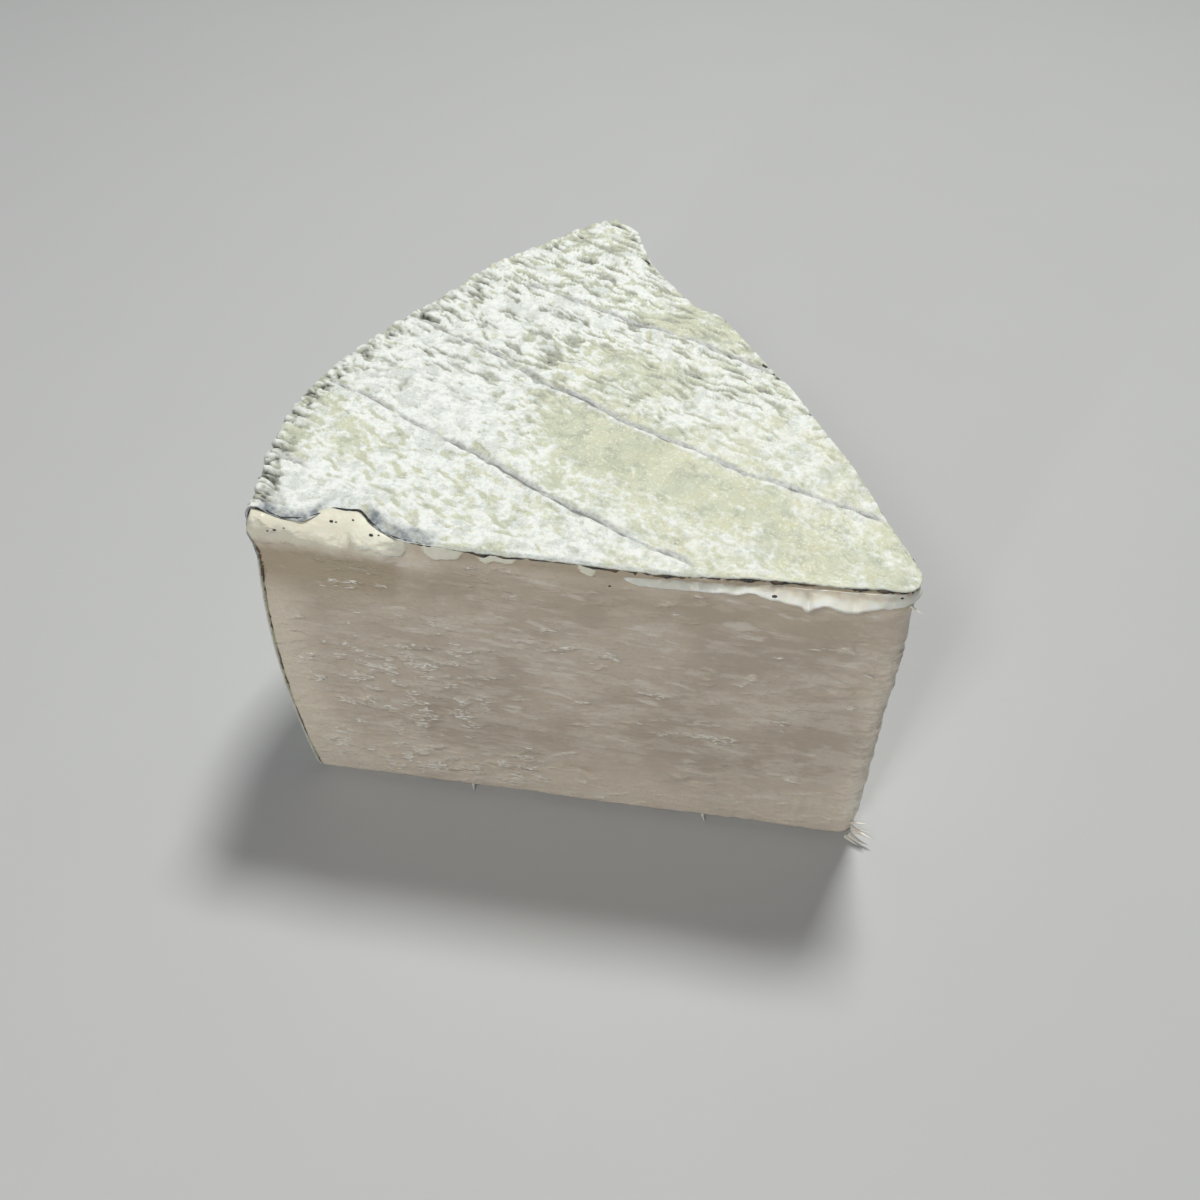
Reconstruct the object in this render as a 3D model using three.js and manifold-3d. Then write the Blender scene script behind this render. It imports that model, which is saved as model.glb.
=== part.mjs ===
// A wedge cut from a wheel of soft ash-ripened goat cheese with a bloomy rind.
//
// Units are millimetres, +Z is up, and the wedge stands on its flat base at z = 0.
// The wedge is drawn with the sharp meeting of its two cuts at x = 0, y = 0: the
// front cut runs from there along -X and faces -Y, and the far cut leaves it at
// CUT_ANGLE. The outer side between the two is an arc of the wheel's rim. Last of
// all the solid is moved so that its base is centred under its bounding box.

import * as THREE from 'three';
import { mergeVertices } from 'three/addons/utils/BufferGeometryUtils.js';
import Module from 'manifold-3d';

// The wheel and its two cuts
const WHEEL_RADIUS = 104;
const HEIGHT = 70;
const FRONT_CUT_LENGTH = 112.4;
const FAR_CUT_LENGTH = 121.0;
const CUT_ANGLE = THREE.MathUtils.degToRad(60);
const APEX_RADIUS = 3.4;

// The outer side swells at mid-height and draws in to the foot. At the top the rind
// flares out into a thin rim, which wanders in and out between the two corners
const SIDE_BELLY = 3.0;
const SIDE_TAPER = 2.0;
const SHOULDER_RADIUS = 1.8;
const FOOT_RADIUS = 3.6;
const RIM_FLARE = 2.3;
const RIM_FLARE_REACH = 10;
const RIM_WAVE = 1.6;
const RIM_WAVE_TURNS = 1.6;
const RIM_WAVE_START = 0.08;

// The front cut stands proud at its top edge and is tucked in at the foot
const FRONT_LEAN = 1.0;
const FRONT_TUCK = 1.6;
const FRONT_TUCK_HEIGHT = 2.4;

// The far cut is full from the apex to a step in the rind, then hollow to the horn
const FAR_BELLY = 3.4;
const FAR_BELLY_SPAN = 95;
const FAR_STEP_START = 81;
const FAR_STEP_END = 89;
const FAR_STEP_DROP = 2.2;
const FAR_HOLLOW = 2.2;
const FAR_HOLLOW_PLACE = 105;
const FAR_HOLLOW_REACH = 18;
const FAR_BASE_SHARE = 0.35;
const HORN_ROUNDING = 3.0;
const HORN_ROUNDING_REACH = 7;

// The top sags behind the front cut, lifts at the horn and is gently uneven
const FRONT_SAG = 1.0;
const SAG_REACH = 26;
const HORN_LIFT = 2.1;
const HORN_REACH = 24;
const TOP_WAVE = 0.45;
const TOP_WAVE_LENGTH = new THREE.Vector2(31, 39);
const TOP_WAVE_START = new THREE.Vector2(0.18, 0.06);

// Creases pressed into the top by the parallel bars of a ripening rack
const CREASE_ANGLE = THREE.MathUtils.degToRad(-26);
const CREASE_SPACING = 25;
const CREASE_ORIGIN = new THREE.Vector2(-51, 36.1);
const CREASE_INDICES = [-2, -1, 0, 1];
const CREASE_WIDTH = 2.2;
const CREASE_DEPTH = 0.9;
const CREASE_STEP = 5;
const CREASE_BOW = 1.6;
const CREASE_OVERRUN = 4;

// Mesh resolution: stations along each stretch of the outline, and rings of stations
const FRONT_STATIONS = 30;
const RIM_STATIONS = 34;
const FAR_STATIONS = 34;
const APEX_STATIONS = 6;
const SIDE_LEVELS = 14;
const TOP_RINGS = 9;
const BASE_RINGS = 2;

const FRONT_DIRECTION = new THREE.Vector2(-1, 0);
const FAR_DIRECTION = new THREE.Vector2(-Math.cos(CUT_ANGLE), Math.sin(CUT_ANGLE));
const FRONT_OUTWARD = new THREE.Vector2(0, -1);
const FAR_OUTWARD = new THREE.Vector2(Math.sin(CUT_ANGLE), Math.cos(CUT_ANGLE));
const FRONT_CORNER = FRONT_DIRECTION.clone().multiplyScalar(FRONT_CUT_LENGTH);
const HORN = FAR_DIRECTION.clone().multiplyScalar(FAR_CUT_LENGTH);
const WHEEL_CENTRE = centreThrough(FRONT_CORNER, HORN, WHEEL_RADIUS);

// Where the fans of triangles on the top and the base meet
const INNER_POINT = new THREE.Vector2(-55, 36);

// Centre of the circle of a given radius through both rim corners, on the apex's side
function centreThrough(first, second, radius) {
  const middle = first.clone().add(second).multiplyScalar(0.5);
  const chord = second.clone().sub(first);
  const rise = Math.sqrt(radius ** 2 - chord.lengthSq() / 4);
  const towardsApex = new THREE.Vector2(chord.y, -chord.x).normalize();
  return middle.addScaledVector(towardsApex, rise);
}

function smooth(value, low, high) {
  return THREE.MathUtils.smoothstep(value, low, high);
}

// A smooth bump: 1 where the value is 0, falling to 0 at the reach
function bump(value, reach) {
  const ratio = Math.min(Math.abs(value) / reach, 1);
  return Math.cos(ratio * Math.PI / 2) ** 2;
}

// A half-sine arch over 0 to 1
function arch(fraction) {
  return Math.sin(Math.PI * fraction);
}

// How far a quarter-round edge has drawn in at a given depth below its end
function quarterRound(depth, radius) {
  const inside = Math.max(radius - depth, 0);
  return radius - Math.sqrt(radius ** 2 - inside ** 2);
}

// Height of the top rind above the base
function topHeight(x, y) {
  const alongFront = THREE.MathUtils.clamp(-x / FRONT_CUT_LENGTH, 0, 1);
  const sag = FRONT_SAG * arch(alongFront) * bump(Math.max(y, 0), SAG_REACH);
  const horn = HORN_LIFT * bump(Math.hypot(x - HORN.x, y - HORN.y), HORN_REACH);
  const turns = new THREE.Vector2(x, y).divide(TOP_WAVE_LENGTH).add(TOP_WAVE_START);
  const wave = Math.sin(2 * Math.PI * turns.x) * Math.sin(2 * Math.PI * turns.y);
  return HEIGHT - sag + horn + TOP_WAVE * wave;
}

// Radius of the outer side at a height given as a share of the full height
function rimRadius(share) {
  const belly = SIDE_BELLY * (1 - (2 * share - 1) ** 2);
  const taper = SIDE_TAPER * (1 - share);
  const flare = RIM_FLARE * bump((1 - share) * HEIGHT, RIM_FLARE_REACH);
  const shoulder = quarterRound((1 - share) * HEIGHT, SHOULDER_RADIUS);
  const foot = quarterRound(share * HEIGHT, FOOT_RADIUS);
  return WHEEL_RADIUS + belly + flare - taper - shoulder - foot;
}

// How far the rim stands out at a place from the front corner, 0, to the horn, 1
function rimWave(place) {
  const fade = Math.sqrt(Math.sin(Math.PI * place));
  const turns = RIM_WAVE_TURNS * place + RIM_WAVE_START;
  return -RIM_WAVE * Math.cos(2 * Math.PI * turns) * fade;
}

// Distance from the apex, along a cut, at which it meets the outer side
function cutReach(direction, radius) {
  const along = WHEEL_CENTRE.dot(direction);
  const aside = WHEEL_CENTRE.cross(direction);
  return along + Math.sqrt(radius ** 2 - aside ** 2);
}

function frontOffset(distance, reach, share) {
  const lean = FRONT_LEAN * arch(distance / reach) * share ** 2;
  const tuck = FRONT_TUCK * (1 - smooth(share * HEIGHT, 0, FRONT_TUCK_HEIGHT));
  return lean - tuck;
}

function farOffset(distance, reach, share) {
  const step = smooth(distance, FAR_STEP_START, FAR_STEP_END);
  const along = Math.min(distance / FAR_BELLY_SPAN, 1);
  const belly = FAR_BELLY * Math.sin(Math.PI * along) * (1 - step);
  const hollow = FAR_HOLLOW * bump(distance - FAR_HOLLOW_PLACE, FAR_HOLLOW_REACH);
  const tip = HORN_ROUNDING * smooth(distance, reach - HORN_ROUNDING_REACH, reach) ** 2;
  const strength = THREE.MathUtils.lerp(FAR_BASE_SHARE, 1, share);
  return (belly - hollow - tip - FAR_STEP_DROP * step) * strength;
}

// The outline of the wedge in plan at one height, anticlockwise from the apex
function outline(share) {
  const radius = rimRadius(share);
  const setback = APEX_RADIUS / Math.tan(CUT_ANGLE / 2);
  const farReach = cutReach(FAR_DIRECTION, radius);
  const frontReach = cutReach(FRONT_DIRECTION, radius);
  const points = [];

  for (let i = 0; i < FAR_STATIONS; i++) {
    const distance = THREE.MathUtils.lerp(setback, farReach, i / FAR_STATIONS);
    const point = FAR_DIRECTION.clone().multiplyScalar(distance);
    points.push(point.addScaledVector(FAR_OUTWARD, farOffset(distance, farReach, share)));
  }

  const horn = FAR_DIRECTION.clone().multiplyScalar(farReach).sub(WHEEL_CENTRE);
  const corner = FRONT_DIRECTION.clone().multiplyScalar(frontReach).sub(WHEEL_CENTRE);
  const hornAngle = horn.angle();
  const cornerAngle = corner.angle();
  for (let i = 0; i < RIM_STATIONS; i++) {
    const angle = THREE.MathUtils.lerp(hornAngle, cornerAngle, i / RIM_STATIONS);
    const spoke = new THREE.Vector2(Math.cos(angle), Math.sin(angle));
    const wave = rimWave(1 - i / RIM_STATIONS) * share;
    points.push(WHEEL_CENTRE.clone().addScaledVector(spoke, radius + wave));
  }

  for (let i = 0; i < FRONT_STATIONS; i++) {
    const distance = THREE.MathUtils.lerp(frontReach, setback, i / FRONT_STATIONS);
    const point = FRONT_DIRECTION.clone().multiplyScalar(distance);
    points.push(point.addScaledVector(FRONT_OUTWARD, frontOffset(distance, frontReach, share)));
  }

  const frontLift = frontOffset(setback, frontReach, share);
  const farLift = farOffset(setback, farReach, share);
  const hub = new THREE.Vector2(-setback, APEX_RADIUS);
  for (let i = 0; i < APEX_STATIONS; i++) {
    const turn = i / APEX_STATIONS;
    const angle = THREE.MathUtils.lerp(-Math.PI / 2, Math.PI / 2 - CUT_ANGLE, turn);
    const spoke = new THREE.Vector2(Math.cos(angle), Math.sin(angle));
    const lift = THREE.MathUtils.lerp(frontLift, farLift, turn);
    points.push(hub.clone().addScaledVector(spoke, APEX_RADIUS + lift));
  }
  return points;
}

// Rings of stations from the middle of the base, up the sides, to the middle of the top
function wedgeRings() {
  const rings = [];
  const base = outline(0);
  for (let k = 1; k <= BASE_RINGS; k++) {
    const grown = k / (BASE_RINGS + 1);
    rings.push(base.map((p) => shrunk(p, 1 - grown, () => 0)));
  }
  for (let k = 0; k <= SIDE_LEVELS; k++) {
    const share = 0.5 - 0.5 * Math.cos(Math.PI * k / SIDE_LEVELS);
    rings.push(outline(share).map((p) => shrunk(p, 0, (x, y) => share * topHeight(x, y))));
  }
  const rim = outline(1);
  for (let k = 1; k <= TOP_RINGS; k++) {
    rings.push(rim.map((p) => shrunk(p, k / (TOP_RINGS + 1), topHeight)));
  }
  return rings;
}

// An outline point moved part of the way to the inner point, at the height given there
function shrunk(point, amount, heightAt) {
  const place = point.clone().lerp(INNER_POINT, amount);
  return new THREE.Vector3(place.x, place.y, heightAt(place.x, place.y));
}

// A closed skin over rings of points, with a fan of triangles over each end
function loft(rings, firstTip, lastTip) {
  const count = rings[0].length;
  const points = [...rings.flat(), firstTip, lastTip];
  const first = points.length - 2;
  const last = points.length - 1;
  const lastRing = (rings.length - 1) * count;
  const faces = [];
  for (let i = 0; i < count; i++) {
    const next = (i + 1) % count;
    faces.push(first, next, i);
    for (let k = 0; k < lastRing; k += count) {
      faces.push(k + i, k + next, k + count + next);
      faces.push(k + i, k + count + next, k + count + i);
    }
    faces.push(lastRing + i, lastRing + next, last);
  }
  const geometry = new THREE.BufferGeometry();
  geometry.setFromPoints(points);
  geometry.setIndex(faces);
  return geometry;
}

function middleOf(ring) {
  const sum = ring.reduce((total, point) => total.add(point), new THREE.Vector3());
  return sum.divideScalar(ring.length);
}

function wedgeGeometry() {
  const { x, y } = INNER_POINT;
  const baseTip = new THREE.Vector3(x, y, 0);
  const topTip = new THREE.Vector3(x, y, topHeight(x, y));
  return loft(wedgeRings(), baseTip, topTip);
}

// A V-shaped bar that follows the top rind and cuts one crease into it
function creaseGeometry(index) {
  const along = new THREE.Vector2(Math.cos(CREASE_ANGLE), Math.sin(CREASE_ANGLE));
  const across = new THREE.Vector2(-along.y, along.x);
  const middle = CREASE_ORIGIN.clone().addScaledVector(across, index * CREASE_SPACING);
  const half = WHEEL_RADIUS - CREASE_OVERRUN;
  const rings = [];
  for (let distance = -half; distance <= half; distance += CREASE_STEP) {
    const bow = CREASE_BOW * Math.sin(distance / CREASE_SPACING + index);
    const place = middle.clone().addScaledVector(along, distance).addScaledVector(across, bow);
    const corners = [[-1, 1], [0, -1], [1, 1]].map(([side, rise]) => {
      const { x, y } = place.clone().addScaledVector(across, side * CREASE_WIDTH);
      return new THREE.Vector3(x, y, topHeight(place.x, place.y) + rise * CREASE_DEPTH);
    });
    rings.push(corners);
  }
  return loft(rings, middleOf(rings[0]), middleOf(rings.at(-1)));
}

const wasm = await Module();
wasm.setup();

function toSolid(geometry) {
  const merged = mergeVertices(geometry);
  return new wasm.Manifold(new wasm.Mesh({
    numProp: 3,
    vertProperties: new Float32Array(merged.attributes.position.array),
    triVerts: new Uint32Array(merged.index.array),
  }));
}

function toGeometry(solid) {
  const { vertProperties, triVerts } = solid.getMesh();
  const geometry = new THREE.BufferGeometry();
  geometry.setAttribute('position', new THREE.BufferAttribute(vertProperties, 3));
  geometry.setIndex(new THREE.BufferAttribute(triVerts, 1));
  return geometry;
}

function creasedWedge() {
  let solid = toSolid(wedgeGeometry());
  for (const index of CREASE_INDICES) {
    solid = solid.subtract(toSolid(creaseGeometry(index)));
  }
  return toGeometry(solid);
}

// Stand the solid on z = 0 with the middle of its bounding box over the origin
function centred(geometry) {
  geometry.computeBoundingBox();
  const { min, max } = geometry.boundingBox;
  return geometry.translate(-(min.x + max.x) / 2, -(min.y + max.y) / 2, -min.z);
}

const material = new THREE.MeshStandardMaterial({
  color: new THREE.Color('#d9d2bf'),
  roughness: 0.7,
  metalness: 0,
});

const wedge = new THREE.Mesh(centred(creasedWedge()), material);
wedge.name = 'cheese_wedge';
wedge.geometry.computeVertexNormals();

const part = new THREE.Group();
part.add(wedge);

export default part;
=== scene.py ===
"""Visual model of a wedge of soft ash-ripened goat cheese with a bloomy rind.

Sizes are millimetres in the frame that the wedge is drawn in: the sharp meeting of the
two cuts is at x = 0, y = 0, the front cut runs along -X and faces -Y, and the base is at
z = 0. Points turn into metres, centred as the CAD solid is, when a piece is made.
"""

import itertools
import math

import bmesh
import bpy
import numpy as np
from mathutils import Matrix, Vector


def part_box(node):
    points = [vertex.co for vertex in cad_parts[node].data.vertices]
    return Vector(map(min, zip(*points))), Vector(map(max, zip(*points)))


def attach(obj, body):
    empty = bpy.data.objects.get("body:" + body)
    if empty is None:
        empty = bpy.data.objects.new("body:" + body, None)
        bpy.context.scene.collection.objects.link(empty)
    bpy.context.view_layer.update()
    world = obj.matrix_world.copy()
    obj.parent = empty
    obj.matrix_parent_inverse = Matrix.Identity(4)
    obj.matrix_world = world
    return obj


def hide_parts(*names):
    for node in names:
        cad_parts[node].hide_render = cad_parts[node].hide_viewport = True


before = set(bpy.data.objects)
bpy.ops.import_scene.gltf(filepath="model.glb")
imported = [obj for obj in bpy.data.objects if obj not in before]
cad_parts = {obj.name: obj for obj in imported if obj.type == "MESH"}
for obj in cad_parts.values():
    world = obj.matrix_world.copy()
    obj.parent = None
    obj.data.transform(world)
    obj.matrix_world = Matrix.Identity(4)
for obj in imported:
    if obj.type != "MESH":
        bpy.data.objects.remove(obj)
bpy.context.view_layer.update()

MM = 0.001
NODE = "cheese_wedge"

# ---------------------------------------------------------------- the wedge's named sizes

WHEEL_RADIUS = 104.0
HEIGHT = 70.0
FRONT_CUT_LENGTH = 112.4
FAR_CUT_LENGTH = 121.0
CUT_ANGLE = math.radians(60)
APEX_RADIUS = 3.4

SIDE_BELLY = 3.0
SIDE_TAPER = 2.0
SHOULDER_RADIUS = 1.8
FOOT_RADIUS = 3.6
RIM_FLARE = 2.3
RIM_FLARE_REACH = 10.0
RIM_WAVE = 1.6
RIM_WAVE_TURNS = 1.6
RIM_WAVE_START = 0.08

FRONT_LEAN = 1.0
FRONT_TUCK = 1.6
FRONT_TUCK_HEIGHT = 2.4

FAR_BELLY = 3.4
FAR_BELLY_SPAN = 95.0
FAR_STEP_START = 81.0
FAR_STEP_END = 89.0
FAR_STEP_DROP = 2.2
FAR_HOLLOW = 2.2
FAR_HOLLOW_PLACE = 105.0
FAR_HOLLOW_REACH = 18.0
FAR_BASE_SHARE = 0.35
HORN_ROUNDING = 3.0
HORN_ROUNDING_REACH = 7.0

FRONT_SAG = 1.0
SAG_REACH = 26.0
HORN_LIFT = 2.1
HORN_REACH = 24.0
TOP_WAVE = 0.45
TOP_WAVE_LENGTH = (31.0, 39.0)
TOP_WAVE_START = (0.18, 0.06)

CREASE_ANGLE = math.radians(-26)
CREASE_ORIGIN = np.array([-51.0, 36.1])

# Layers from the outside in
RIND_THICKNESS = 0.5
ASH_TOP = 0.34
ASH_BOTTOM = 0.95
PASTE_DEPTH = 0.6
SIDE_INSET = 0.7
DEEPER_INSIDE = 1.3
DEEPER_REACH = 1.6
BEVEL = 0.36

FRONT_DIRECTION = np.array([-1.0, 0.0])
FAR_DIRECTION = np.array([-math.cos(CUT_ANGLE), math.sin(CUT_ANGLE)])
FRONT_OUTWARD = np.array([0.0, -1.0])
FAR_OUTWARD = np.array([math.sin(CUT_ANGLE), math.cos(CUT_ANGLE)])
FRONT_CORNER = FRONT_DIRECTION * FRONT_CUT_LENGTH
HORN = FAR_DIRECTION * FAR_CUT_LENGTH
SETBACK = APEX_RADIUS / math.tan(CUT_ANGLE / 2)
HUB = np.array([-SETBACK, APEX_RADIUS])
INNER_POINT = np.array([-55.0, 36.0])


def centre_through(first, second, radius):
    """Centre of the circle of a given radius through both rim corners, near the apex."""
    chord = second - first
    rise = math.sqrt(radius ** 2 - chord @ chord / 4)
    towards = np.array([chord[1], -chord[0]]) / np.linalg.norm(chord)
    return (first + second) / 2 + towards * rise


WHEEL_CENTRE = centre_through(FRONT_CORNER, HORN, WHEEL_RADIUS)


# ---------------------------------------------------------------- smooth shapes

def smooth(value, low, high):
    """0 below low, 1 above high and an even S between them."""
    part = np.clip((value - low) / (high - low), 0, 1)
    return part * part * (3 - 2 * part)


def window(value, rise, risen, fall, fallen):
    """0, up to 1 between the first two places, and back to 0 between the last two."""
    return smooth(value, rise, risen) * (1 - smooth(value, fall, fallen))


def bump(value, reach):
    """A rounded hump: 1 at 0 and 0 from `reach` on, either way."""
    return np.cos(np.pi / 2 * np.minimum(np.abs(value) / reach, 1)) ** 2


def bell(value, width):
    """A bell curve, 1 at 0."""
    return np.exp(-(value / width) ** 2)


def spot(across, along, place, reach):
    """A soft oval: 1 at its place and well under 0.1 past twice its reach."""
    return bell(np.hypot((across - place[0]) / reach[0], (along - place[1]) / reach[1]), 1.0)


def stacked(*parts):
    """Separate coordinates as one array of points."""
    return np.stack(parts, axis=-1)


def arch(fraction):
    """Half a sine wave over 0 to 1, and 0 outside it."""
    return np.sin(np.pi * np.clip(fraction, 0, 1))


def quarter_round(depth, radius):
    """How far a rounded edge is set back at a depth below it."""
    inside = np.maximum(radius - depth, 0)
    return radius - np.sqrt(radius ** 2 - inside ** 2)


def top_height(x, y):
    """Height of the top, with its sag, its waves and the lifted horn."""
    sag = FRONT_SAG * arch(-x / FRONT_CUT_LENGTH) * bump(np.maximum(y, 0), SAG_REACH)
    horn = HORN_LIFT * bump(np.hypot(x - HORN[0], y - HORN[1]), HORN_REACH)
    across = np.sin(2 * np.pi * (x / TOP_WAVE_LENGTH[0] + TOP_WAVE_START[0]))
    along = np.sin(2 * np.pi * (y / TOP_WAVE_LENGTH[1] + TOP_WAVE_START[1]))
    return HEIGHT - sag + horn + TOP_WAVE * across * along


def rim_radius(share):
    """Distance of the outer side from the wheel's centre at a share of the height."""
    belly = SIDE_BELLY * (1 - (2 * share - 1) ** 2)
    taper = SIDE_TAPER * (1 - share)
    flare = RIM_FLARE * bump((1 - share) * HEIGHT, RIM_FLARE_REACH)
    shoulder = quarter_round((1 - share) * HEIGHT, SHOULDER_RADIUS)
    foot = quarter_round(share * HEIGHT, FOOT_RADIUS)
    return WHEEL_RADIUS + belly + flare - taper - shoulder - foot


def rim_wave(place):
    """How far the outer side waves in and out along the rim, 0 to 1."""
    fade = np.sqrt(np.clip(np.sin(np.pi * place), 0, 1))
    return -RIM_WAVE * np.cos(2 * np.pi * (RIM_WAVE_TURNS * place + RIM_WAVE_START)) * fade


def cut_reach(direction, radius):
    """Length of a cut from the apex to a circle about the wheel's centre."""
    along = WHEEL_CENTRE @ direction
    aside = WHEEL_CENTRE[0] * direction[1] - WHEEL_CENTRE[1] * direction[0]
    return along + np.sqrt(radius ** 2 - aside ** 2)


def front_offset(distance, reach, share):
    """How far the front cut stands out from its plane."""
    lean = FRONT_LEAN * arch(distance / reach) * share ** 2
    tuck = FRONT_TUCK * (1 - smooth(share * HEIGHT, 0, FRONT_TUCK_HEIGHT))
    return lean - tuck


def far_offset(distance, reach, share):
    """How far the far cut stands out from its plane."""
    step = smooth(distance, FAR_STEP_START, FAR_STEP_END)
    along = np.minimum(distance / FAR_BELLY_SPAN, 1)
    belly = FAR_BELLY * np.sin(np.pi * along) * (1 - step)
    hollow = FAR_HOLLOW * bump(distance - FAR_HOLLOW_PLACE, FAR_HOLLOW_REACH)
    tip = HORN_ROUNDING * smooth(distance, reach - HORN_ROUNDING_REACH, reach) ** 2
    strength = FAR_BASE_SHARE + (1 - FAR_BASE_SHARE) * share
    return (belly - hollow - tip - FAR_STEP_DROP * step) * strength


def front_line(fraction, share, inset=0.0):
    """Plan points of the front cut at a height, from the apex round, 0, to the rim, 1."""
    reach = cut_reach(FRONT_DIRECTION, rim_radius(share))
    distance = SETBACK + (reach - inset - SETBACK) * fraction
    offset = front_offset(distance, reach, share)
    return distance[..., None] * FRONT_DIRECTION + offset[..., None] * FRONT_OUTWARD


def far_line(fraction, share, inset=0.0):
    """Plan points of the far cut at a height, from the apex round, 0, to the rim, 1."""
    reach = cut_reach(FAR_DIRECTION, rim_radius(share))
    distance = SETBACK + (reach - inset - SETBACK) * fraction
    offset = far_offset(distance, reach, share)
    return distance[..., None] * FAR_DIRECTION + offset[..., None] * FAR_OUTWARD


def apex_line(fraction, share):
    """The round of the apex, from the front cut, 0, to the far cut, 1."""
    setback = np.full(np.shape(share), SETBACK)
    front = front_offset(setback, cut_reach(FRONT_DIRECTION, rim_radius(share)), share)
    far = far_offset(setback, cut_reach(FAR_DIRECTION, rim_radius(share)), share)
    angle = -np.pi / 2 + (np.pi - CUT_ANGLE) * fraction
    radius = APEX_RADIUS + front + (far - front) * fraction
    return HUB + radius[..., None] * stacked(np.cos(angle), np.sin(angle))


CORNER_BLEND = 0.07


def rim_line(fraction, share, inset=0.0):
    """The outer side at a height, from the front corner, 0, to the horn, 1."""
    radius = rim_radius(share)
    one = np.ones(np.shape(share))
    corner = cut_reach(FRONT_DIRECTION, radius)[..., None] * FRONT_DIRECTION - WHEEL_CENTRE
    horn = cut_reach(FAR_DIRECTION, radius)[..., None] * FAR_DIRECTION - WHEEL_CENTRE
    corner_angle = np.arctan2(corner[..., 1], corner[..., 0]) % (2 * np.pi)
    horn_angle = np.arctan2(horn[..., 1], horn[..., 0]) % (2 * np.pi)

    def on_circle(part):
        angle = corner_angle + (horn_angle - corner_angle) * part
        out = radius + rim_wave(part) * share - inset
        return WHEEL_CENTRE + out[..., None] * stacked(np.cos(angle), np.sin(angle))

    start = front_line(one, share, inset) - on_circle(0 * one)
    end = far_line(one, share, inset) - on_circle(one)
    near_start = 1 - smooth(fraction, 0, CORNER_BLEND)
    near_end = smooth(fraction, 1 - CORNER_BLEND, 1)
    return on_circle(fraction) + start * near_start[..., None] + end * near_end[..., None]


# The rind is torn back from the front cut near its outer end, and at the corner itself
TEAR_DEPTH = 5.8
TEAR_SPAN = (-105.0, -100.0, -96.2, -90.4)
TEAR_REACH = 14.0
TEAR_WOBBLE = 0.16
OUTER_TEAR = 1.5
OUTER_TEAR_END = (-92.0, -86.0)
LIP_TEAR = 0.9
LIP_TEAR_SPAN = (-45.0, -22.0, -8.0, -1.5)
CORNER_TEAR = 1.4
CORNER_TEAR_END = (-113.5, -107.5)


def tear(x):
    """How far back the rind's front edge is torn."""
    wobble = 1 + TEAR_WOBBLE * field(stacked(x, 0 * x, 0 * x), 2.4, 18, 3)
    return ((TEAR_DEPTH - OUTER_TEAR) * window(x, *TEAR_SPAN) * wobble
            + OUTER_TEAR * (1 - smooth(x, *OUTER_TEAR_END))
            + CORNER_TEAR * (1 - smooth(x, *CORNER_TEAR_END))
            + LIP_TEAR * window(x, *LIP_TEAR_SPAN))


def torn_back(plan, strength=1.0):
    """Plan points of the rind, moved back where it is torn."""
    moved = plan.copy()
    near = 1 - smooth(plan[..., 1], 0, TEAR_REACH)
    moved[..., 1] += strength * tear(plan[..., 0]) * near
    return moved


# ---------------------------------------------------------------- seeded noise

SEED = 620
TABLE = 256
OCTAVE_STEP = 2.03
OCTAVE_SHIFT = 5.1
KEY_SHIFT = 13.7
NOISE_GAIN = 1.6
generator = np.random.default_rng(SEED)
PERMUTATION = generator.permutation(TABLE)
GRADIENTS = generator.normal(size=(TABLE, 3))
GRADIENTS /= np.linalg.norm(GRADIENTS, axis=1)[:, None]


def noise(points):
    """Gradient noise of about -1 to 1 at each row of an (n, 3) array."""
    cell = np.floor(points).astype(np.int64)
    inside = points - cell
    fade = inside ** 3 * (inside * (inside * 6 - 15) + 10)
    total = np.zeros(len(points))
    for corner in itertools.product((0, 1), repeat=3):
        place = (cell + corner) % TABLE
        key = PERMUTATION[(PERMUTATION[place[:, 0]] + place[:, 1]) % TABLE]
        key = PERMUTATION[(key + place[:, 2]) % TABLE]
        slope = np.einsum("ij,ij->i", GRADIENTS[key], inside - corner)
        weight = np.prod(np.where(corner, fade, 1 - fade), axis=1)
        total += weight * slope
    return NOISE_GAIN * total


def field(place, size, key, octaves=3, gain=0.5):
    """Layered noise with features of a given size, in one number or one for each axis.

    Each key gives a pattern of its own.
    """
    shape = place.shape[:-1]
    points = place.reshape(-1, 3) / np.asarray(size, float) + KEY_SHIFT * key
    total = np.zeros(len(points))
    strength = 1.0
    weight = 0.0
    for octave in range(octaves):
        total += strength * noise(points * OCTAVE_STEP ** octave + OCTAVE_SHIFT * octave)
        weight += strength
        strength *= gain
    return (total / weight).reshape(shape)


def ridges(place, size, key, octaves=2):
    """Noise with sharp crests: 1 on a crest, falling to about -0.4 between them."""
    return 1 - 2.4 * np.abs(field(place, size, key, octaves))


# ---------------------------------------------------------------- meshes

def box_of_outline():
    """Middle of the smooth outline's bounding box in plan."""
    share = np.repeat(np.linspace(0, 1, 60)[:, None], 120, axis=1)
    part = np.repeat(np.linspace(0, 1, 120)[None, :], 60, axis=0)
    lines = [front_line(part, share), far_line(part, share)]
    lines += [rim_line(part, share), apex_line(part, share)]
    points = np.concatenate([line.reshape(-1, 2) for line in lines])
    return (points.min(axis=0) + points.max(axis=0)) / 2


cad_low, cad_high = (np.array(corner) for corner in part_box(NODE))
SHIFT = np.append(((cad_low + cad_high) / 2 / MM)[:2] - box_of_outline(), cad_low[2] / MM)


def grid_faces(rows, columns):
    """Quads over a grid of points, counted row by row."""
    row, column = np.meshgrid(np.arange(rows - 1), np.arange(columns - 1), indexing="ij")
    first = (row * columns + column).ravel()
    quads = np.stack([first, first + 1, first + 1 + columns, first + columns], axis=1)
    return quads.tolist()


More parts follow.
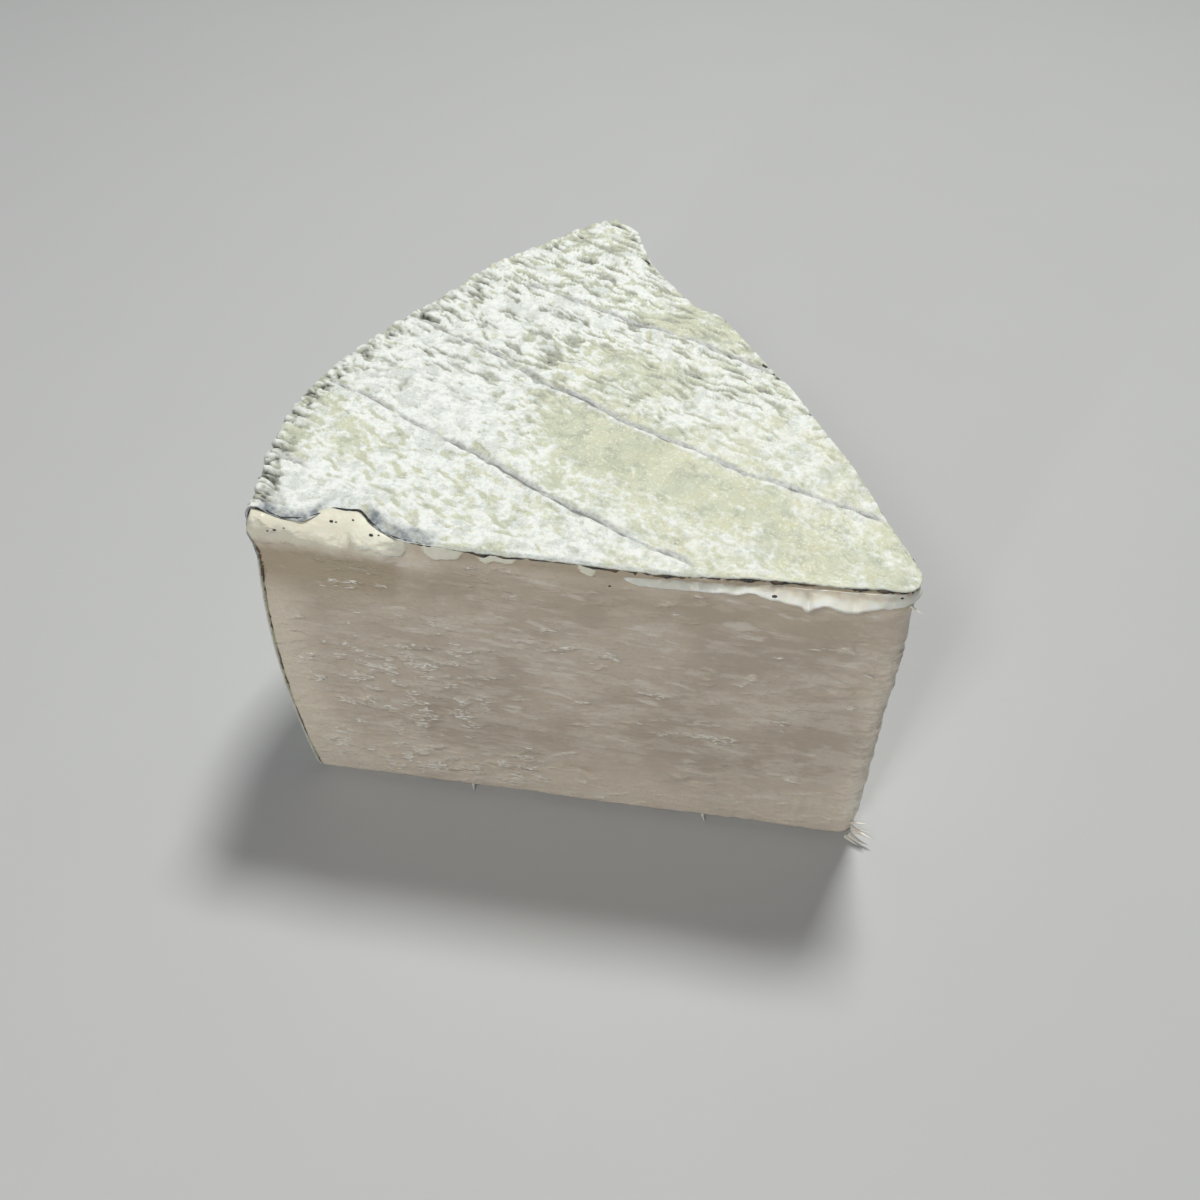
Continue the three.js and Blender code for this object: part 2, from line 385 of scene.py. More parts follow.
def border(rows, columns):
    """Grid places round the border of a grid, in order."""
    top = [(0, c) for c in range(columns - 1)]
    right = [(r, columns - 1) for r in range(rows - 1)]
    bottom = [(rows - 1, c) for c in range(columns - 1, 0, -1)]
    left = [(r, 0) for r in range(rows - 1, 0, -1)]
    return top + right + bottom + left


def coarse_faces(rows, columns, step, index_at):
    """Wide faces over a grid, with every border point kept."""
    def run(fixed, start, end, along_row, on_border):
        pace = int(math.copysign(1 if on_border else step, end - start))
        places = range(start, end, pace)
        return [index_at[(fixed, p) if along_row else (p, fixed)] for p in places]

    faces = []
    last_row = rows - 1
    last_column = columns - 1
    for r in range(0, last_row, step):
        for c in range(0, last_column, step):
            far_r = r + step
            far_c = c + step
            face = run(r, c, far_c, True, r == 0)
            face += run(far_c, r, far_r, False, far_c == last_column)
            face += run(far_r, far_c, c, True, far_r == last_row)
            face += run(c, far_r, r, False, c == 0)
            faces.append(face)
    return faces


def coarse_places(rows, columns, step):
    """The grid places inside the border that a coarse side keeps."""
    inside_rows = range(step, rows - 1, step)
    inside_columns = range(step, columns - 1, step)
    return list(itertools.product(inside_rows, inside_columns))


def loop_faces(first, second, count):
    """Quads between two closed loops of points."""
    return [[first + i, first + (i + 1) % count, second + (i + 1) % count, second + i]
            for i in range(count)]


def slab(outer, inner, rings, step, fine_outside=True):
    """A closed slab from an outer grid, border rings and an inner grid."""
    rows, columns = outer.shape[:2]
    places = border(rows, columns)
    picks = tuple(np.array(places).T)
    hidden = coarse_places(rows, columns, step)
    hidden_picks = tuple(np.array(hidden).T)
    count = len(places)
    points = []
    faces = []

    def coarse_side(grid, flip):
        """Adds a grid with few points and wide faces, and says where its points start."""
        start = sum(len(p) for p in points)
        points.append(grid[picks])
        points.append(grid[hidden_picks])
        index_at = {place: start + i for i, place in enumerate(places + hidden)}
        side = coarse_faces(rows, columns, step, index_at)
        faces.extend(face[::-1] for face in side) if flip else faces.extend(side)
        return start

    if fine_outside:
        points.append(outer.reshape(-1, 3))
        faces.extend(grid_faces(rows, columns))
        edge = [r * columns + c for r, c in places]
    else:
        start = coarse_side(outer, False)
        edge = list(range(start, start + count))
    previous = edge
    for ring in rings:
        start = sum(len(p) for p in points)
        points.append(ring)
        loop = list(range(start, start + count))
        faces.extend([previous[i - 1], loop[i - 1], loop[i], previous[i]]
                     for i in range(count))
        previous = loop
    start = coarse_side(inner, True)
    loop = list(range(start, start + count))
    faces.extend([previous[i - 1], loop[i - 1], loop[i], previous[i]] for i in range(count))
    return np.concatenate(points), faces


def make_piece(name, points, faces, material, attributes=None):
    """A closed mesh object in metres that stands for the CAD solid and rides with it."""
    mesh = bpy.data.meshes.new(name)
    mesh.from_pydata(((points + SHIFT) * MM).tolist(), [], faces)
    for key, values in (attributes or {}).items():
        layer = mesh.attributes.new(key, "FLOAT", "POINT")
        padded = np.zeros(len(points), np.float32)
        padded[:len(values)] = values
        layer.data.foreach_set("value", padded)
    work = bmesh.new()
    work.from_mesh(mesh)
    bmesh.ops.recalc_face_normals(work, faces=work.faces)
    work.to_mesh(mesh)
    work.free()
    mesh.polygons.foreach_set("use_smooth", [True] * len(mesh.polygons))
    mesh.materials.append(material)
    piece = bpy.data.objects.new(name, mesh)
    bpy.context.scene.collection.objects.link(piece)
    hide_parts(NODE)
    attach(piece, "root")
    return piece


# ---------------------------------------------------------------- materials

class Surface:
    """A node material, with short calls for the nodes that these surfaces share."""

    def __init__(self, name):
        self.material = bpy.data.materials.new(name)
        self.material.use_nodes = True
        self.tree = self.material.node_tree
        self.shader = self.tree.nodes["Principled BSDF"]
        place = self.tree.nodes.new("ShaderNodeTexCoord")
        scale = self.tree.nodes.new("ShaderNodeMapping")
        scale.inputs["Scale"].default_value = (1 / MM, 1 / MM, 1 / MM)
        self.tree.links.new(place.outputs["Object"], scale.inputs["Vector"])
        self.place = scale.outputs["Vector"]
        self.height = None

    def node(self, kind, settings=None, **inputs):
        made = self.tree.nodes.new(kind)
        for key, value in (settings or {}).items():
            setattr(made, key, value)
        for key, value in inputs.items():
            self.feed(made.inputs[key.replace("_", " ")], value)
        return made

    def feed(self, socket, value):
        if isinstance(value, bpy.types.NodeSocket):
            self.tree.links.new(value, socket)
        else:
            socket.default_value = value

    def attribute(self, name):
        return self.node("ShaderNodeAttribute", {"attribute_name": name}).outputs["Fac"]

    def noise(self, size, detail=3.0, roughness=0.55, stretch=None, offset=0.0, turn=0.0):
        """Noise of 0 to 1 whose features are about `size` millimetres."""
        place = self.place
        if turn:
            place = self.node("ShaderNodeMapping", Vector=place,
                              Rotation=(0.0, turn, 0.0)).outputs["Vector"]
        if stretch:
            mapping = self.node("ShaderNodeMapping", Vector=place, Scale=stretch)
            mapping.inputs["Location"].default_value = (offset, offset, offset)
            place = mapping.outputs["Vector"]
        texture = self.node("ShaderNodeTexNoise", Vector=place, Scale=1 / size,
                            Detail=detail, Roughness=roughness)
        return texture.outputs["Fac"]

    def math(self, operation, first, second):
        made = self.node("ShaderNodeMath", {"operation": operation})
        self.feed(made.inputs[0], first)
        self.feed(made.inputs[1], second)
        return made.outputs[0]

    def product(self, first, second):
        return self.math("MULTIPLY", first, second)

    def span(self, value, low, high, to_low=0.0, to_high=1.0):
        """A value stretched smoothly from one range to another."""
        made = self.node("ShaderNodeMapRange", {"interpolation_type": "SMOOTHSTEP"},
                         Value=value, From_Min=low, From_Max=high, To_Min=to_low,
                         To_Max=to_high)
        return made.outputs["Result"]

    def blend(self, amount, first, second):
        made = self.node("ShaderNodeMix", {"data_type": "RGBA"})
        self.feed(made.inputs[0], amount)
        self.feed(made.inputs[6], (*first, 1) if isinstance(first, tuple) else first)
        self.feed(made.inputs[7], (*second, 1) if isinstance(second, tuple) else second)
        return made.outputs[2]

    def over(self, first, second, mask, low, high, strength=1.0):
        """The second colour over the first, where the mask goes from low to high."""
        return self.blend(self.span(mask, low, high, 0.0, strength), first, second)

    def bump(self, height, distance, strength=1.0):
        made = self.node("ShaderNodeBump", Height=height, Distance=distance * MM,
                         Strength=strength)
        if self.height:
            self.feed(made.inputs["Normal"], self.height)
        self.height = made.outputs["Normal"]

    def finish(self, colour, roughness, glow=0.0, glow_reach=1.0, **fixed):
        """Join up the shader; light glows through to about glow_reach millimetres."""
        self.feed(self.shader.inputs["Base Color"], colour)
        self.feed(self.shader.inputs["Roughness"], roughness)
        if self.height:
            self.feed(self.shader.inputs["Normal"], self.height)
        if glow:
            fixed.update(Subsurface_Weight=glow, Subsurface_Scale=glow_reach * MM,
                         Subsurface_Radius=SOFT_GLOW)
        for key, value in fixed.items():
            self.shader.inputs[key.replace("_", " ")].default_value = value
        return self.material


SOFT_GLOW = (1.0, 0.55, 0.32)
# The knife's drag marks on the cut faces run slightly downhill
DRAG_TURN = math.radians(-4)

# Colours, as pairs where noise runs from the first to the second
SAGE = ((0.60, 0.64, 0.50), (0.72, 0.74, 0.56))
SAGE_DARK = (0.43, 0.465, 0.38)
SAGE_WARM = (0.70, 0.70, 0.51)
SAGE_DOT = (0.88, 0.88, 0.73)
MOULD = ((0.82, 0.86, 0.84), (0.965, 1.0, 0.97))
MOULD_GREY = (0.63, 0.675, 0.63)
MOULD_WARM = (0.92, 0.92, 0.80)
MOULD_PIT = (0.50, 0.53, 0.51)
CREASE_GREY = ((0.47, 0.485, 0.475), (0.64, 0.655, 0.645))
CREASE_CRACK_SHADE = (0.24, 0.25, 0.24)
SHADE_IN_HOLLOWS = ((0.30, 0.315, 0.28), (0.43, 0.445, 0.39))
DEEPEST_SHADE_IN_HOLLOWS = ((0.06, 0.065, 0.058), (0.17, 0.175, 0.145))
ASH_GREY_AND_SHADE = ((0.17, 0.195, 0.22), (0.42, 0.45, 0.47))
ASH = ((0.014, 0.015, 0.019), (0.10, 0.10, 0.10))
ASH_BROWN = (0.20, 0.135, 0.085)
CORE = ((0.555, 0.475, 0.385), (0.67, 0.585, 0.48))
CORE_PALE = (0.84, 0.765, 0.66)
CORE_DARK = (0.50, 0.425, 0.34)
WARM_CREAM = ((0.80, 0.70, 0.565), (0.88, 0.80, 0.68))
IVORY = ((0.93, 0.92, 0.75), (0.97, 0.965, 0.83))
TAN = (0.52, 0.43, 0.31)
OCHRE = (0.55, 0.37, 0.20)
PAINTED_GLINT_CURD = (0.97, 0.93, 0.87)
SCRAPED_CURD = (0.86, 0.80, 0.72)
LIP_CREAM = ((0.96, 0.945, 0.82), (1.0, 0.99, 0.90))
LIP_TAN = (0.60, 0.50, 0.39)
PALE_GLINT_FLAKE = ((0.86, 0.79, 0.69), (1.0, 0.97, 0.90))
FIBRE = ((0.84, 0.80, 0.72), (0.93, 0.90, 0.84))


def rind_material():
    """Mould in white, sage and grey, over creases, hollows and torn edges, which all carry painted
    shade.
    """
    surface = Surface("rind_bloom")
    bloom, shade, crease, warmth, smear = (
        surface.attribute(name) for name in ("bloom", "shade", "crease", "warmth", "smear"))
    broad = surface.noise(9.0, 4.0)
    patchy = surface.noise(3.2, 4.0, 0.6, stretch=(1.0, 1.0, 1.0), offset=40.0)
    speckle = surface.noise(0.9, 4.0, 0.6)
    grains = surface.noise(0.34, 3.0, 0.6)

    # Bare sage rind, spotted with young mould
    sage = surface.over(*SAGE, broad, 0.35, 0.65)
    sage = surface.over(sage, SAGE_DARK, patchy, 0.50, 0.66, 0.6)
    sage = surface.blend(warmth, sage, SAGE_WARM)
    dots = surface.product(surface.span(surface.noise(0.55, 2.0, 0.5), 0.56, 0.64),
                           surface.span(broad, 0.3, 0.6, 0.25, 0.85))
    sage = surface.blend(dots, sage, SAGE_DOT)

    # White mould, greyer where it is thin or pitted
    white = surface.over(*MOULD, speckle, 0.38, 0.56)
    white = surface.over(white, MOULD_GREY, patchy, 0.50, 0.60, 0.50)
    white = surface.blend(surface.product(warmth, 0.6), white, MOULD_WARM)
    pits = surface.product(surface.span(grains, 0.56, 0.66),
                           surface.span(patchy, 0.42, 0.58, 0.10, 0.70))
    white = surface.blend(pits, white, MOULD_PIT)
    ragged = surface.product(surface.math("SUBTRACT", speckle, 0.5), 0.6)
    finer = surface.product(surface.math("SUBTRACT", grains, 0.5), 0.3)
    covering = surface.math("ADD", surface.math("ADD", bloom, ragged), finer)
    cover = surface.span(covering, 0.10, 0.90)
    colour = surface.blend(cover, sage, white)

    # Crease grey: partly the mould's grey, partly painted shade, darkest along the cracked bottoms
    in_crease = surface.over(*CREASE_GREY, speckle, 0.4, 0.6)
    in_crease = surface.over(in_crease, CREASE_CRACK_SHADE, crease, 0.50, 0.80)
    colour = surface.over(colour, in_crease, crease, 0.05, 0.45)
    # Painted shade in the hollows: darkest in the rim's gaps and the hole, lighter in veins, pores
    # and wrinkle dashes
    hollow = surface.over(*SHADE_IN_HOLLOWS, speckle, 0.4, 0.6)
    deepest_shade = surface.over(*DEEPEST_SHADE_IN_HOLLOWS, speckle, 0.4, 0.6)
    hollow = surface.over(hollow, deepest_shade, shade, 0.60, 0.95)
    colour = surface.over(colour, hollow, shade, 0.0, 0.8)
    # Grey along the torn edges: partly ash, partly painted shade under the torn edge
    colour = surface.blend(smear, colour, surface.over(*ASH_GREY_AND_SHADE, speckle, 0.3, 0.7))

    surface.bump(surface.noise(1.2, 4.0, 0.6), 0.30, 0.8)
    surface.bump(grains, 0.10, 0.8)
    return surface.finish(colour, surface.span(cover, 0.0, 1.0, 0.50, 0.78), glow=0.10)


def paste_material():
    """Chalky core, ivory creamline and tan strip, with ochre marks, and pale flakes painted in as
    glints.
    """
    surface = Surface("paste_chalky")
    cream, ochre, gloss, strip = (
        surface.attribute(name) for name in ("cream", "ochre", "gloss", "strip"))
    cloud = surface.noise(16.0, 3.0, 0.5)
    drag = surface.noise(3.2, 4.0, 0.6, stretch=(0.40, 0.40, 1.2), offset=3.0,
                         turn=DRAG_TURN)
    fine = surface.noise(0.7, 4.0, 0.6)
    flake = surface.noise(1.1, 2.0, 0.5, stretch=(0.50, 0.50, 1.5), offset=9.0,
                          turn=DRAG_TURN)
    scrape = surface.noise(1.8, 3.0, 0.55, stretch=(0.35, 0.35, 1.5), offset=21.0,
                           turn=DRAG_TURN)

    core = surface.over(*CORE, cloud, 0.36, 0.64)
    core = surface.over(core, CORE_PALE, drag, 0.48, 0.62, 0.40)
    core = surface.over(core, CORE_DARK, fine, 0.54, 0.66, 0.35)
    # The cream mask also carries painted highlight on pleat crests, ledges and crumbs
    colour = surface.over(core, surface.over(*WARM_CREAM, fine, 0.3, 0.7), cream, 0.0, 0.45)
    colour = surface.over(colour, surface.over(*IVORY, fine, 0.3, 0.7), cream, 0.40, 0.95)
    colour = surface.blend(strip, colour, TAN)
    colour = surface.blend(ochre, colour, OCHRE)
    # Painted glints: pale flakes where the cut is glossy
    flakes = surface.product(surface.span(flake, 0.55, 0.62),
                             surface.span(gloss, 0.30, 0.75, 0.0, 0.40))
    colour = surface.blend(flakes, colour, PAINTED_GLINT_CURD)
    scrapes = surface.product(surface.span(scrape, 0.56, 0.66),
                              surface.span(surface.noise(8.0, 2.0), 0.48, 0.60, 0.0, 0.60))
    colour = surface.blend(scrapes, colour, SCRAPED_CURD)

    surface.bump(surface.noise(2.6, 4.0, 0.6), 0.16, 0.8)
    surface.bump(scrape, 0.10, 0.8)
    surface.bump(surface.product(flake, gloss), 0.8, 1.0)
    surface.bump(fine, 0.08, 0.7)
    shine = surface.math("ADD", surface.product(gloss, 0.6), surface.product(drag, 0.4))
    return surface.finish(colour, surface.span(shine, 0.15, 0.7, 0.46, 0.15), glow=0.12,
                          glow_reach=1.5, Coat_Weight=0.06, Coat_Roughness=0.25)


def lip_material():
    """Smooth cream, tan in blotches near its top."""
    surface = Surface("creamline_gloss")
    fine = surface.noise(0.6, 3.0)
    colour = surface.over(*LIP_CREAM, surface.noise(2.5, 3.0), 0.35, 0.6)
    colour = surface.blend(surface.attribute("tint"), colour, LIP_TAN)
    surface.bump(surface.noise(1.6, 3.0), 0.12, 0.6)
    surface.bump(fine, 0.03, 0.5)
    return surface.finish(colour, surface.span(fine, 0.3, 0.7, 0.32, 0.46), glow=0.35,
                          glow_reach=2.0, Coat_Weight=0.08, Coat_Roughness=0.25)


def flake_material():
    """Wet curd, glossy and paler than the paste: the pale colour is painted highlight for glints.
    """
    surface = Surface("curd_flake")
    fine = surface.noise(0.5, 3.0)
    colour = surface.over(*PALE_GLINT_FLAKE, surface.noise(2.5, 2.0), 0.40, 0.52)
    surface.bump(fine, 0.02, 0.5)
    return surface.finish(colour, surface.span(fine, 0.4, 0.6, 0.18, 0.28), glow=0.1,
                          Coat_Weight=0.5, Coat_Roughness=0.2)


def ash_material():
    """Near-black ash, brown on the outer side and where the line thins."""
    surface = Surface("ash_line")
    fine = surface.noise(0.5, 3.0)
    colour = surface.over(*ASH, fine, 0.35, 0.7)
    colour = surface.blend(surface.attribute("brown"), colour, ASH_BROWN)
    surface.bump(fine, 0.1, 0.8)
    return surface.finish(colour, surface.span(fine, 0.3, 0.7, 0.6, 0.9))


def fibre_material():
    """Curd spikes in the paste's own colour."""
    surface = Surface("cream_fibre")
    fine = surface.noise(0.5, 2.0)
    surface.bump(fine, 0.03, 0.5)
    return surface.finish(surface.blend(fine, *FIBRE), surface.span(fine, 0.3, 0.7, 0.4, 0.6),
                          glow=0.2)


# ---------------------------------------------------------------- the rind's sheet

TOP_ROWS = 230
SIDE_ROWS = 130
RIND_COLUMNS = 240
COARSE_STEP = 10
SIDE_EASE = 0.08


def rind_sheet():
    """Smooth grid over the top, from the apex to the rim, and on down the outer side."""
    column = np.linspace(0, 1, RIND_COLUMNS + 1)
    row = np.linspace(0, 1, TOP_ROWS + 1)
    t, a = np.meshgrid(row, column, indexing="ij")
    one = np.ones_like(t)
    front = front_line(t, one)
    far = far_line(t, one)
    apex = apex_line(a, one)
    rim = rim_line(a, one)
    t = t[..., None]
    a = a[..., None]
    corners = ((1 - a) * (1 - t) * apex[0, 0] + a * (1 - t) * apex[0, -1]
               + (1 - a) * t * rim[0, 0] + a * t * rim[0, -1])
    plan = torn_back((1 - a) * front + a * far + (1 - t) * apex + t * rim - corners)
    height = top_height(plan[..., 0], plan[..., 1])
    top = np.concatenate([plan, height[..., None]], axis=-1)

    down = np.linspace(0, 1, SIDE_ROWS + 1)[1:]
    down = down - SIDE_EASE * np.sin(2 * np.pi * down)
    share, part = np.meshgrid(1 - down, column, indexing="ij")
    side_plan = torn_back(rim_line(part, share), smooth(share, 0.93, 1.0))
    side_height = share * top_height(side_plan[..., 0], side_plan[..., 1])
    side = np.concatenate([side_plan, side_height[..., None]], axis=-1)
    sheet = np.concatenate([top, side])

    rim_out = np.linalg.norm(rim[0] - WHEEL_CENTRE, axis=-1)
    reach = np.linalg.norm(top[..., :2] - WHEEL_CENTRE, axis=-1)
    inward = np.concatenate([rim_out - reach, -down[:, None] * HEIGHT * np.ones_like(part)])
    return sheet, inward


def grid_normals(grid):
    """Normals of a grid of points, on the side that its rows and columns set."""
    across = np.gradient(grid, axis=1)
    down = np.gradient(grid, axis=0)
    normal = np.cross(down, across)
    normal /= np.maximum(np.linalg.norm(normal, axis=-1), 1e-9)[..., None]
    return normal


def crease_frame(place):
    """Distance along and across the rack's bars."""
    along = np.array([math.cos(CREASE_ANGLE), math.sin(CREASE_ANGLE)])
    across = np.array([-along[1], along[0]])
    flat = place[..., :2] - CREASE_ORIGIN
    return flat @ along, flat @ across


# Creases: distance across from the first bar, bow, start and end along it, and strength
CREASES = (
    (-0.2, 1.8, -62.0, 50.0, 1.0),
    (-24.9, 1.4, -60.0, 28.0, 1.0),
    (25.6, -1.2, -46.0, 14.0, 0.9),
    (-45.5, 0.8, -66.0, -38.0, 0.8),
)
CREASE_BOW_START = -50.0
CREASE_BOW_LENGTH = 110.0


def crease_relief(sheet, on_top):
    """Grooves, the grey in them with painted shade along their cracked bottoms, and the ridges
    beside them.
    """
    u, v = crease_frame(sheet)
    wander = 0.55 * field(sheet, 7.0, 31, 2) + 0.28 * field(sheet, 1.7, 32, 2)
    broken = smooth(field(sheet, 6.0, 33, 2), -0.55, 0.1)
    cracked = smooth(field(sheet, 4.0, 34, 2), -0.60, -0.05)
    relief = np.zeros(u.shape)
    grey = np.zeros(u.shape)
    ridge = np.zeros(u.shape)
    for offset, bow, start, end, strength in CREASES:
        turn = 2 * np.pi * (u - CREASE_BOW_START) / CREASE_BOW_LENGTH
        q = v - offset - bow * np.cos(turn) + wander
        ends = window(u, start, start + 3, end - 6, end)
        power = strength * ends * (0.72 + 0.28 * broken) * on_top
        relief += power * (-0.45 * bell(q, 0.40) * (0.3 + 0.7 * cracked)
                           - 0.30 * bell(q - 1.0, 1.1) + 0.38 * bell(q + 1.1, 0.7))
        grey += power * (0.80 * cracked * bell(q, 0.38)
                         + (0.15 + 0.30 * broken) * bell(q - 0.7, 0.75))
        ridge += power * bell(q + 1.1, 0.7)
    return relief, np.clip(grey, 0, 1), ridge


def in_rack_frame(x, y):
    """One place of the top as seen along and across the creases."""
    return crease_frame(np.array([x, y]))


# Where the mould is thick (above 0) or thin (below 0): x, y, length, width, strength
BLOOM_PATCHES = (
    (-93.0, 43.0, 20.0, 12.0, 0.75),
    (-80.0, 33.0, 20.0, 8.0, 0.35),
    (-107.0, 7.0, 10.0, 6.0, 1.0),
    (-70.0, 66.0, 22.0, 8.0, 0.45),
    (-84.0, 62.0, 10.0, 9.0, 0.5),
    (-62.0, 88.0, 12.0, 8.0, 0.25),
    (-92.0, 14.0, 14.0, 9.0, 0.25),
    (-60.0, 30.0, 16.0, 8.0, -0.75),
    (-45.0, 20.0, 16.0, 6.0, -0.35),
    (-58.0, 54.0, 16.0, 7.0, -0.6),
    (-42.0, 66.0, 16.0, 7.0, -0.5),
    (-38.0, 42.0, 12.0, 8.0, 0.1),
    (-22.0, 12.0, 24.0, 10.0, -0.55),
    (-103.0, 22.0, 10.0, 6.0, -0.4),
    (-70.0, 5.0, 18.0, 5.0, 0.05),
    (-30.0, 30.0, 14.0, 5.0, -0.05),
)


# A small hole by the rim and a shallow pit beside a crease: x, y and reach
RIM_HOLE = ((-98.9, 62.9), (0.806, 0.62))
CREASE_PIT = ((-59.5, 10.6), (2.6, 0.8))


def rind_relief(sheet, inward):
    """The slow and the fine height of the wrinkles, and the masks that colour them, including
    painted shade in the hollows.
    """
    x, y, z = np.moveaxis(sheet, -1, 0)
    u, v = crease_frame(sheet)
    on_top = smooth(inward, -0.4, 0.8)
    side = 1 - on_top
    back = smooth(y, 24, 54)

    # Wrinkles over the shoulder, strongest towards the front corner
    slide = v + 1.2 * field(sheet, 7.0, 1, 2)
    across_rim = stacked(slide, u, z)
    teeth = field(across_rim, (2.3, 8.0, 14.0), 2, 2, 0.45)
    fine_teeth = field(across_rim, (1.15, 4.0, 8.0), 3, 2)
    toothed = np.where(inward > 0, bell(inward, 5.0), bell(inward, 15.0))
    toothed = toothed * (0.45 + 0.55 * (1 - smooth(y, 35, 95)))
    gap = np.maximum(bell(teeth, 0.10), 0.6 * bell(fine_teeth, 0.08))

    # Wrinkles along the rack's bars, deeper in the back half, and curled ones elsewhere
    warp = 1.6 * field(sheet, 6.0, 4, 2)
    curl = 1.3 * field(sheet, 3.4, 17, 2)
    rack = stacked(u, v + 1.1 * warp + 0.7 * curl, z)
    dash = smooth(-field(rack, (6.4, 1.05, 6.0), 5, 2, 0.4), 0.06, 0.34)
    knot = stacked(u + 1.6 * curl, v + warp - curl, z)
    squiggle = smooth(-field(knot, (3.1, 1.5, 2.6), 6, 2, 0.45), 0.04, 0.30)
    pores = field(sheet, 1.05, 7, 3, 0.6)
    lumps = field(sheet, 9.0, 8, 3)
    swell = field(sheet, 24.0, 9, 2)
    veins = bell(field(stacked(x + 2 * warp, y, z), 11.0, 10, 3), 0.035)
    veins = veins * smooth(field(sheet, 13.0, 11, 2), -0.1, 0.3)

    grooves, grey, ridge = crease_relief(sheet, on_top)

    low = 0.30 * lumps + 0.35 * swell
    by_cut = 1 - smooth(y + front_offset(-x, FRONT_CUT_LENGTH, 1.0), 0.5, 6.0)
    relief = (toothed * (0.55 * teeth + 0.25 * fine_teeth - 0.85 * gap + 0.2)
              - (0.06 + 0.42 * back) * on_top * dash - 0.16 * on_top * squiggle
              + 0.10 * pores - 0.16 * veins + grooves + 0.08 * side * fine_teeth)
    relief *= 1 - 0.7 * by_cut * side
    low = low * (1 - 0.6 * by_cut * side) * (0.3 + 0.7 * smooth(y, 1, 14))

    hole = spot(x, y, *RIM_HOLE) * on_top
    pit_place, pit_reach = CREASE_PIT
    pit = spot(u, v, in_rack_frame(*pit_place), pit_reach) * on_top
    relief -= 1.4 * hole + 0.45 * pit

    # How thickly the white mould lies
    density = 0.47 + 0.24 * field(sheet, 17.0, 12, 2) + 0.1 * side
    for patch_x, patch_y, length, width, strength in BLOOM_PATCHES:
        middle = in_rack_frame(patch_x, patch_y)
        density = density + 0.9 * strength * spot(u, v, middle, (length, width)) * on_top
    density = density + 0.40 * ridge
    streak = stacked(u + warp, v + warp + curl, z)
    mottle = (0.50 * field(streak, (3.6, 1.6, 2.5), 13, 3, 0.6)
              + 0.75 * field(sheet, 6.5, 14, 4, 0.6))
    crest = 0.35 * pores + 0.8 * toothed * (teeth - gap + 0.3)
    curly = 0.28 + 0.34 * (1 - smooth(x - 0.3 * y, -84, -62))
    threads = bell(field(sheet, (3.4, 3.4, 2.0), 19, 2), 0.10) * on_top * (1 - back)
    crest = crest + 0.10 * back - (0.12 + 0.50 * back) * dash - curly * squiggle + 0.30 * threads
    # The mould's edges are crisp at the back and the rim, and blurred near the apex
    blur = 0.48 + 0.18 * smooth(x - 0.3 * y, -78, -40) - 0.14 * back
    bloom = smooth(density + 0.62 * mottle + crest, 0.36 - blur, 0.36 + blur)

    # Painted shade: the rim's gaps, the hole, veins, wrinkle dashes, squiggles and pores are
    # darkened as shade in their hollows
    close = np.where(inward > 0, bell(inward, 3.4), bell(inward, 12.0))
    close = close * (0.3 + 0.7 * (1 - smooth(y, 30, 90)))
    shade = 0.98 * hole + 1.05 * close * gap + 0.3 * veins * (1 - 0.5 * bloom)
    shade += (0.04 + 0.54 * back) * dash * on_top
    shade += 0.20 * squiggle * on_top * smooth(density, 0.15, 0.55)
    shade += 0.45 * smooth(-pores, 0.26, 0.55) * smooth(field(sheet, 8.0, 16, 2), -0.3, 0.3)
    warmth = smooth(x - 0.35 * y, -88, -30) * smooth(field(sheet, 4.5, 15, 3), -0.25, 0.45)
    # Painted shade in the pit beside a crease, carried in the crease mask
    crease = np.clip(grey + 0.7 * pit, 0, 1)
    masks = {"bloom": bloom * (1 - 0.4 * crease), "shade": np.clip(shade, 0, 1),
             "crease": 0.85 * crease, "warmth": 0.85 * warmth * on_top}
    return low, relief, masks


def edge_outward(sheet, places):
    """At each border place, the direction out of the sheet, level with it."""
    columns = sheet.shape[1]
    result = []
    for r, c in places:
        x, y = sheet[r, c, :2]
        if r == 0:
            out = np.array([x - HUB[0], y - HUB[1], 0.0])
        elif c == 0:
            slope = float(tear(x + 0.1) - tear(x - 0.1)) / 0.2 if r <= TOP_ROWS else 0.0
            out = np.array([slope, -1.0, 0.0])
        elif c == columns - 1:
            out = np.array([*FAR_OUTWARD, 0.0])
        else:
            out = np.array([0.0, 0.0, -1.0])
        result.append(out / np.linalg.norm(out))
    return np.array(result)


def top_normals(place):
    """Normals of the smooth top, from its height."""
    x, y = place[..., 0], place[..., 1]
    step = 0.2
    slope_x = (top_height(x + step, y) - top_height(x - step, y)) / (2 * step)
    slope_y = (top_height(x, y + step) - top_height(x, y - step)) / (2 * step)
    normal = stacked(-slope_x, -slope_y, np.ones_like(x))
    return normal / np.linalg.norm(normal, axis=-1)[..., None]


# Where the rind's torn edge is bevelled and grey, and where the grey all but stops
GREY_EDGE_SPAN = (-114.5, -112.0, -84.0, -79.0)
WHITE_GAP_SPAN = (-103.0, -100.0, -95.0, -93.0)
# Rings down the rind's cut edge: depth and how far each stands out
CUT_RINGS = ((0.08, 0.08), (0.20, 0.12), (0.34, 0.08))
# An edge point lies on the top's front edge below this y and above this height
TOP_EDGE_DEPTH = 8.0
TOP_EDGE_HEIGHT = 60.0

print("rind sheet")
sheet, inward = rind_sheet()
sheet_normal = -grid_normals(sheet)
sheet_normal[:TOP_ROWS - 1] = top_normals(sheet[:TOP_ROWS - 1])
low_relief, fine_relief, rind_masks = rind_relief(sheet, inward)
share_up = sheet[..., 2] / HEIGHT
foot_fade = smooth(share_up, 0.0, 0.05)
sheet_places = border(*sheet.shape[:2])
sheet_picks = tuple(np.array(sheet_places).T)

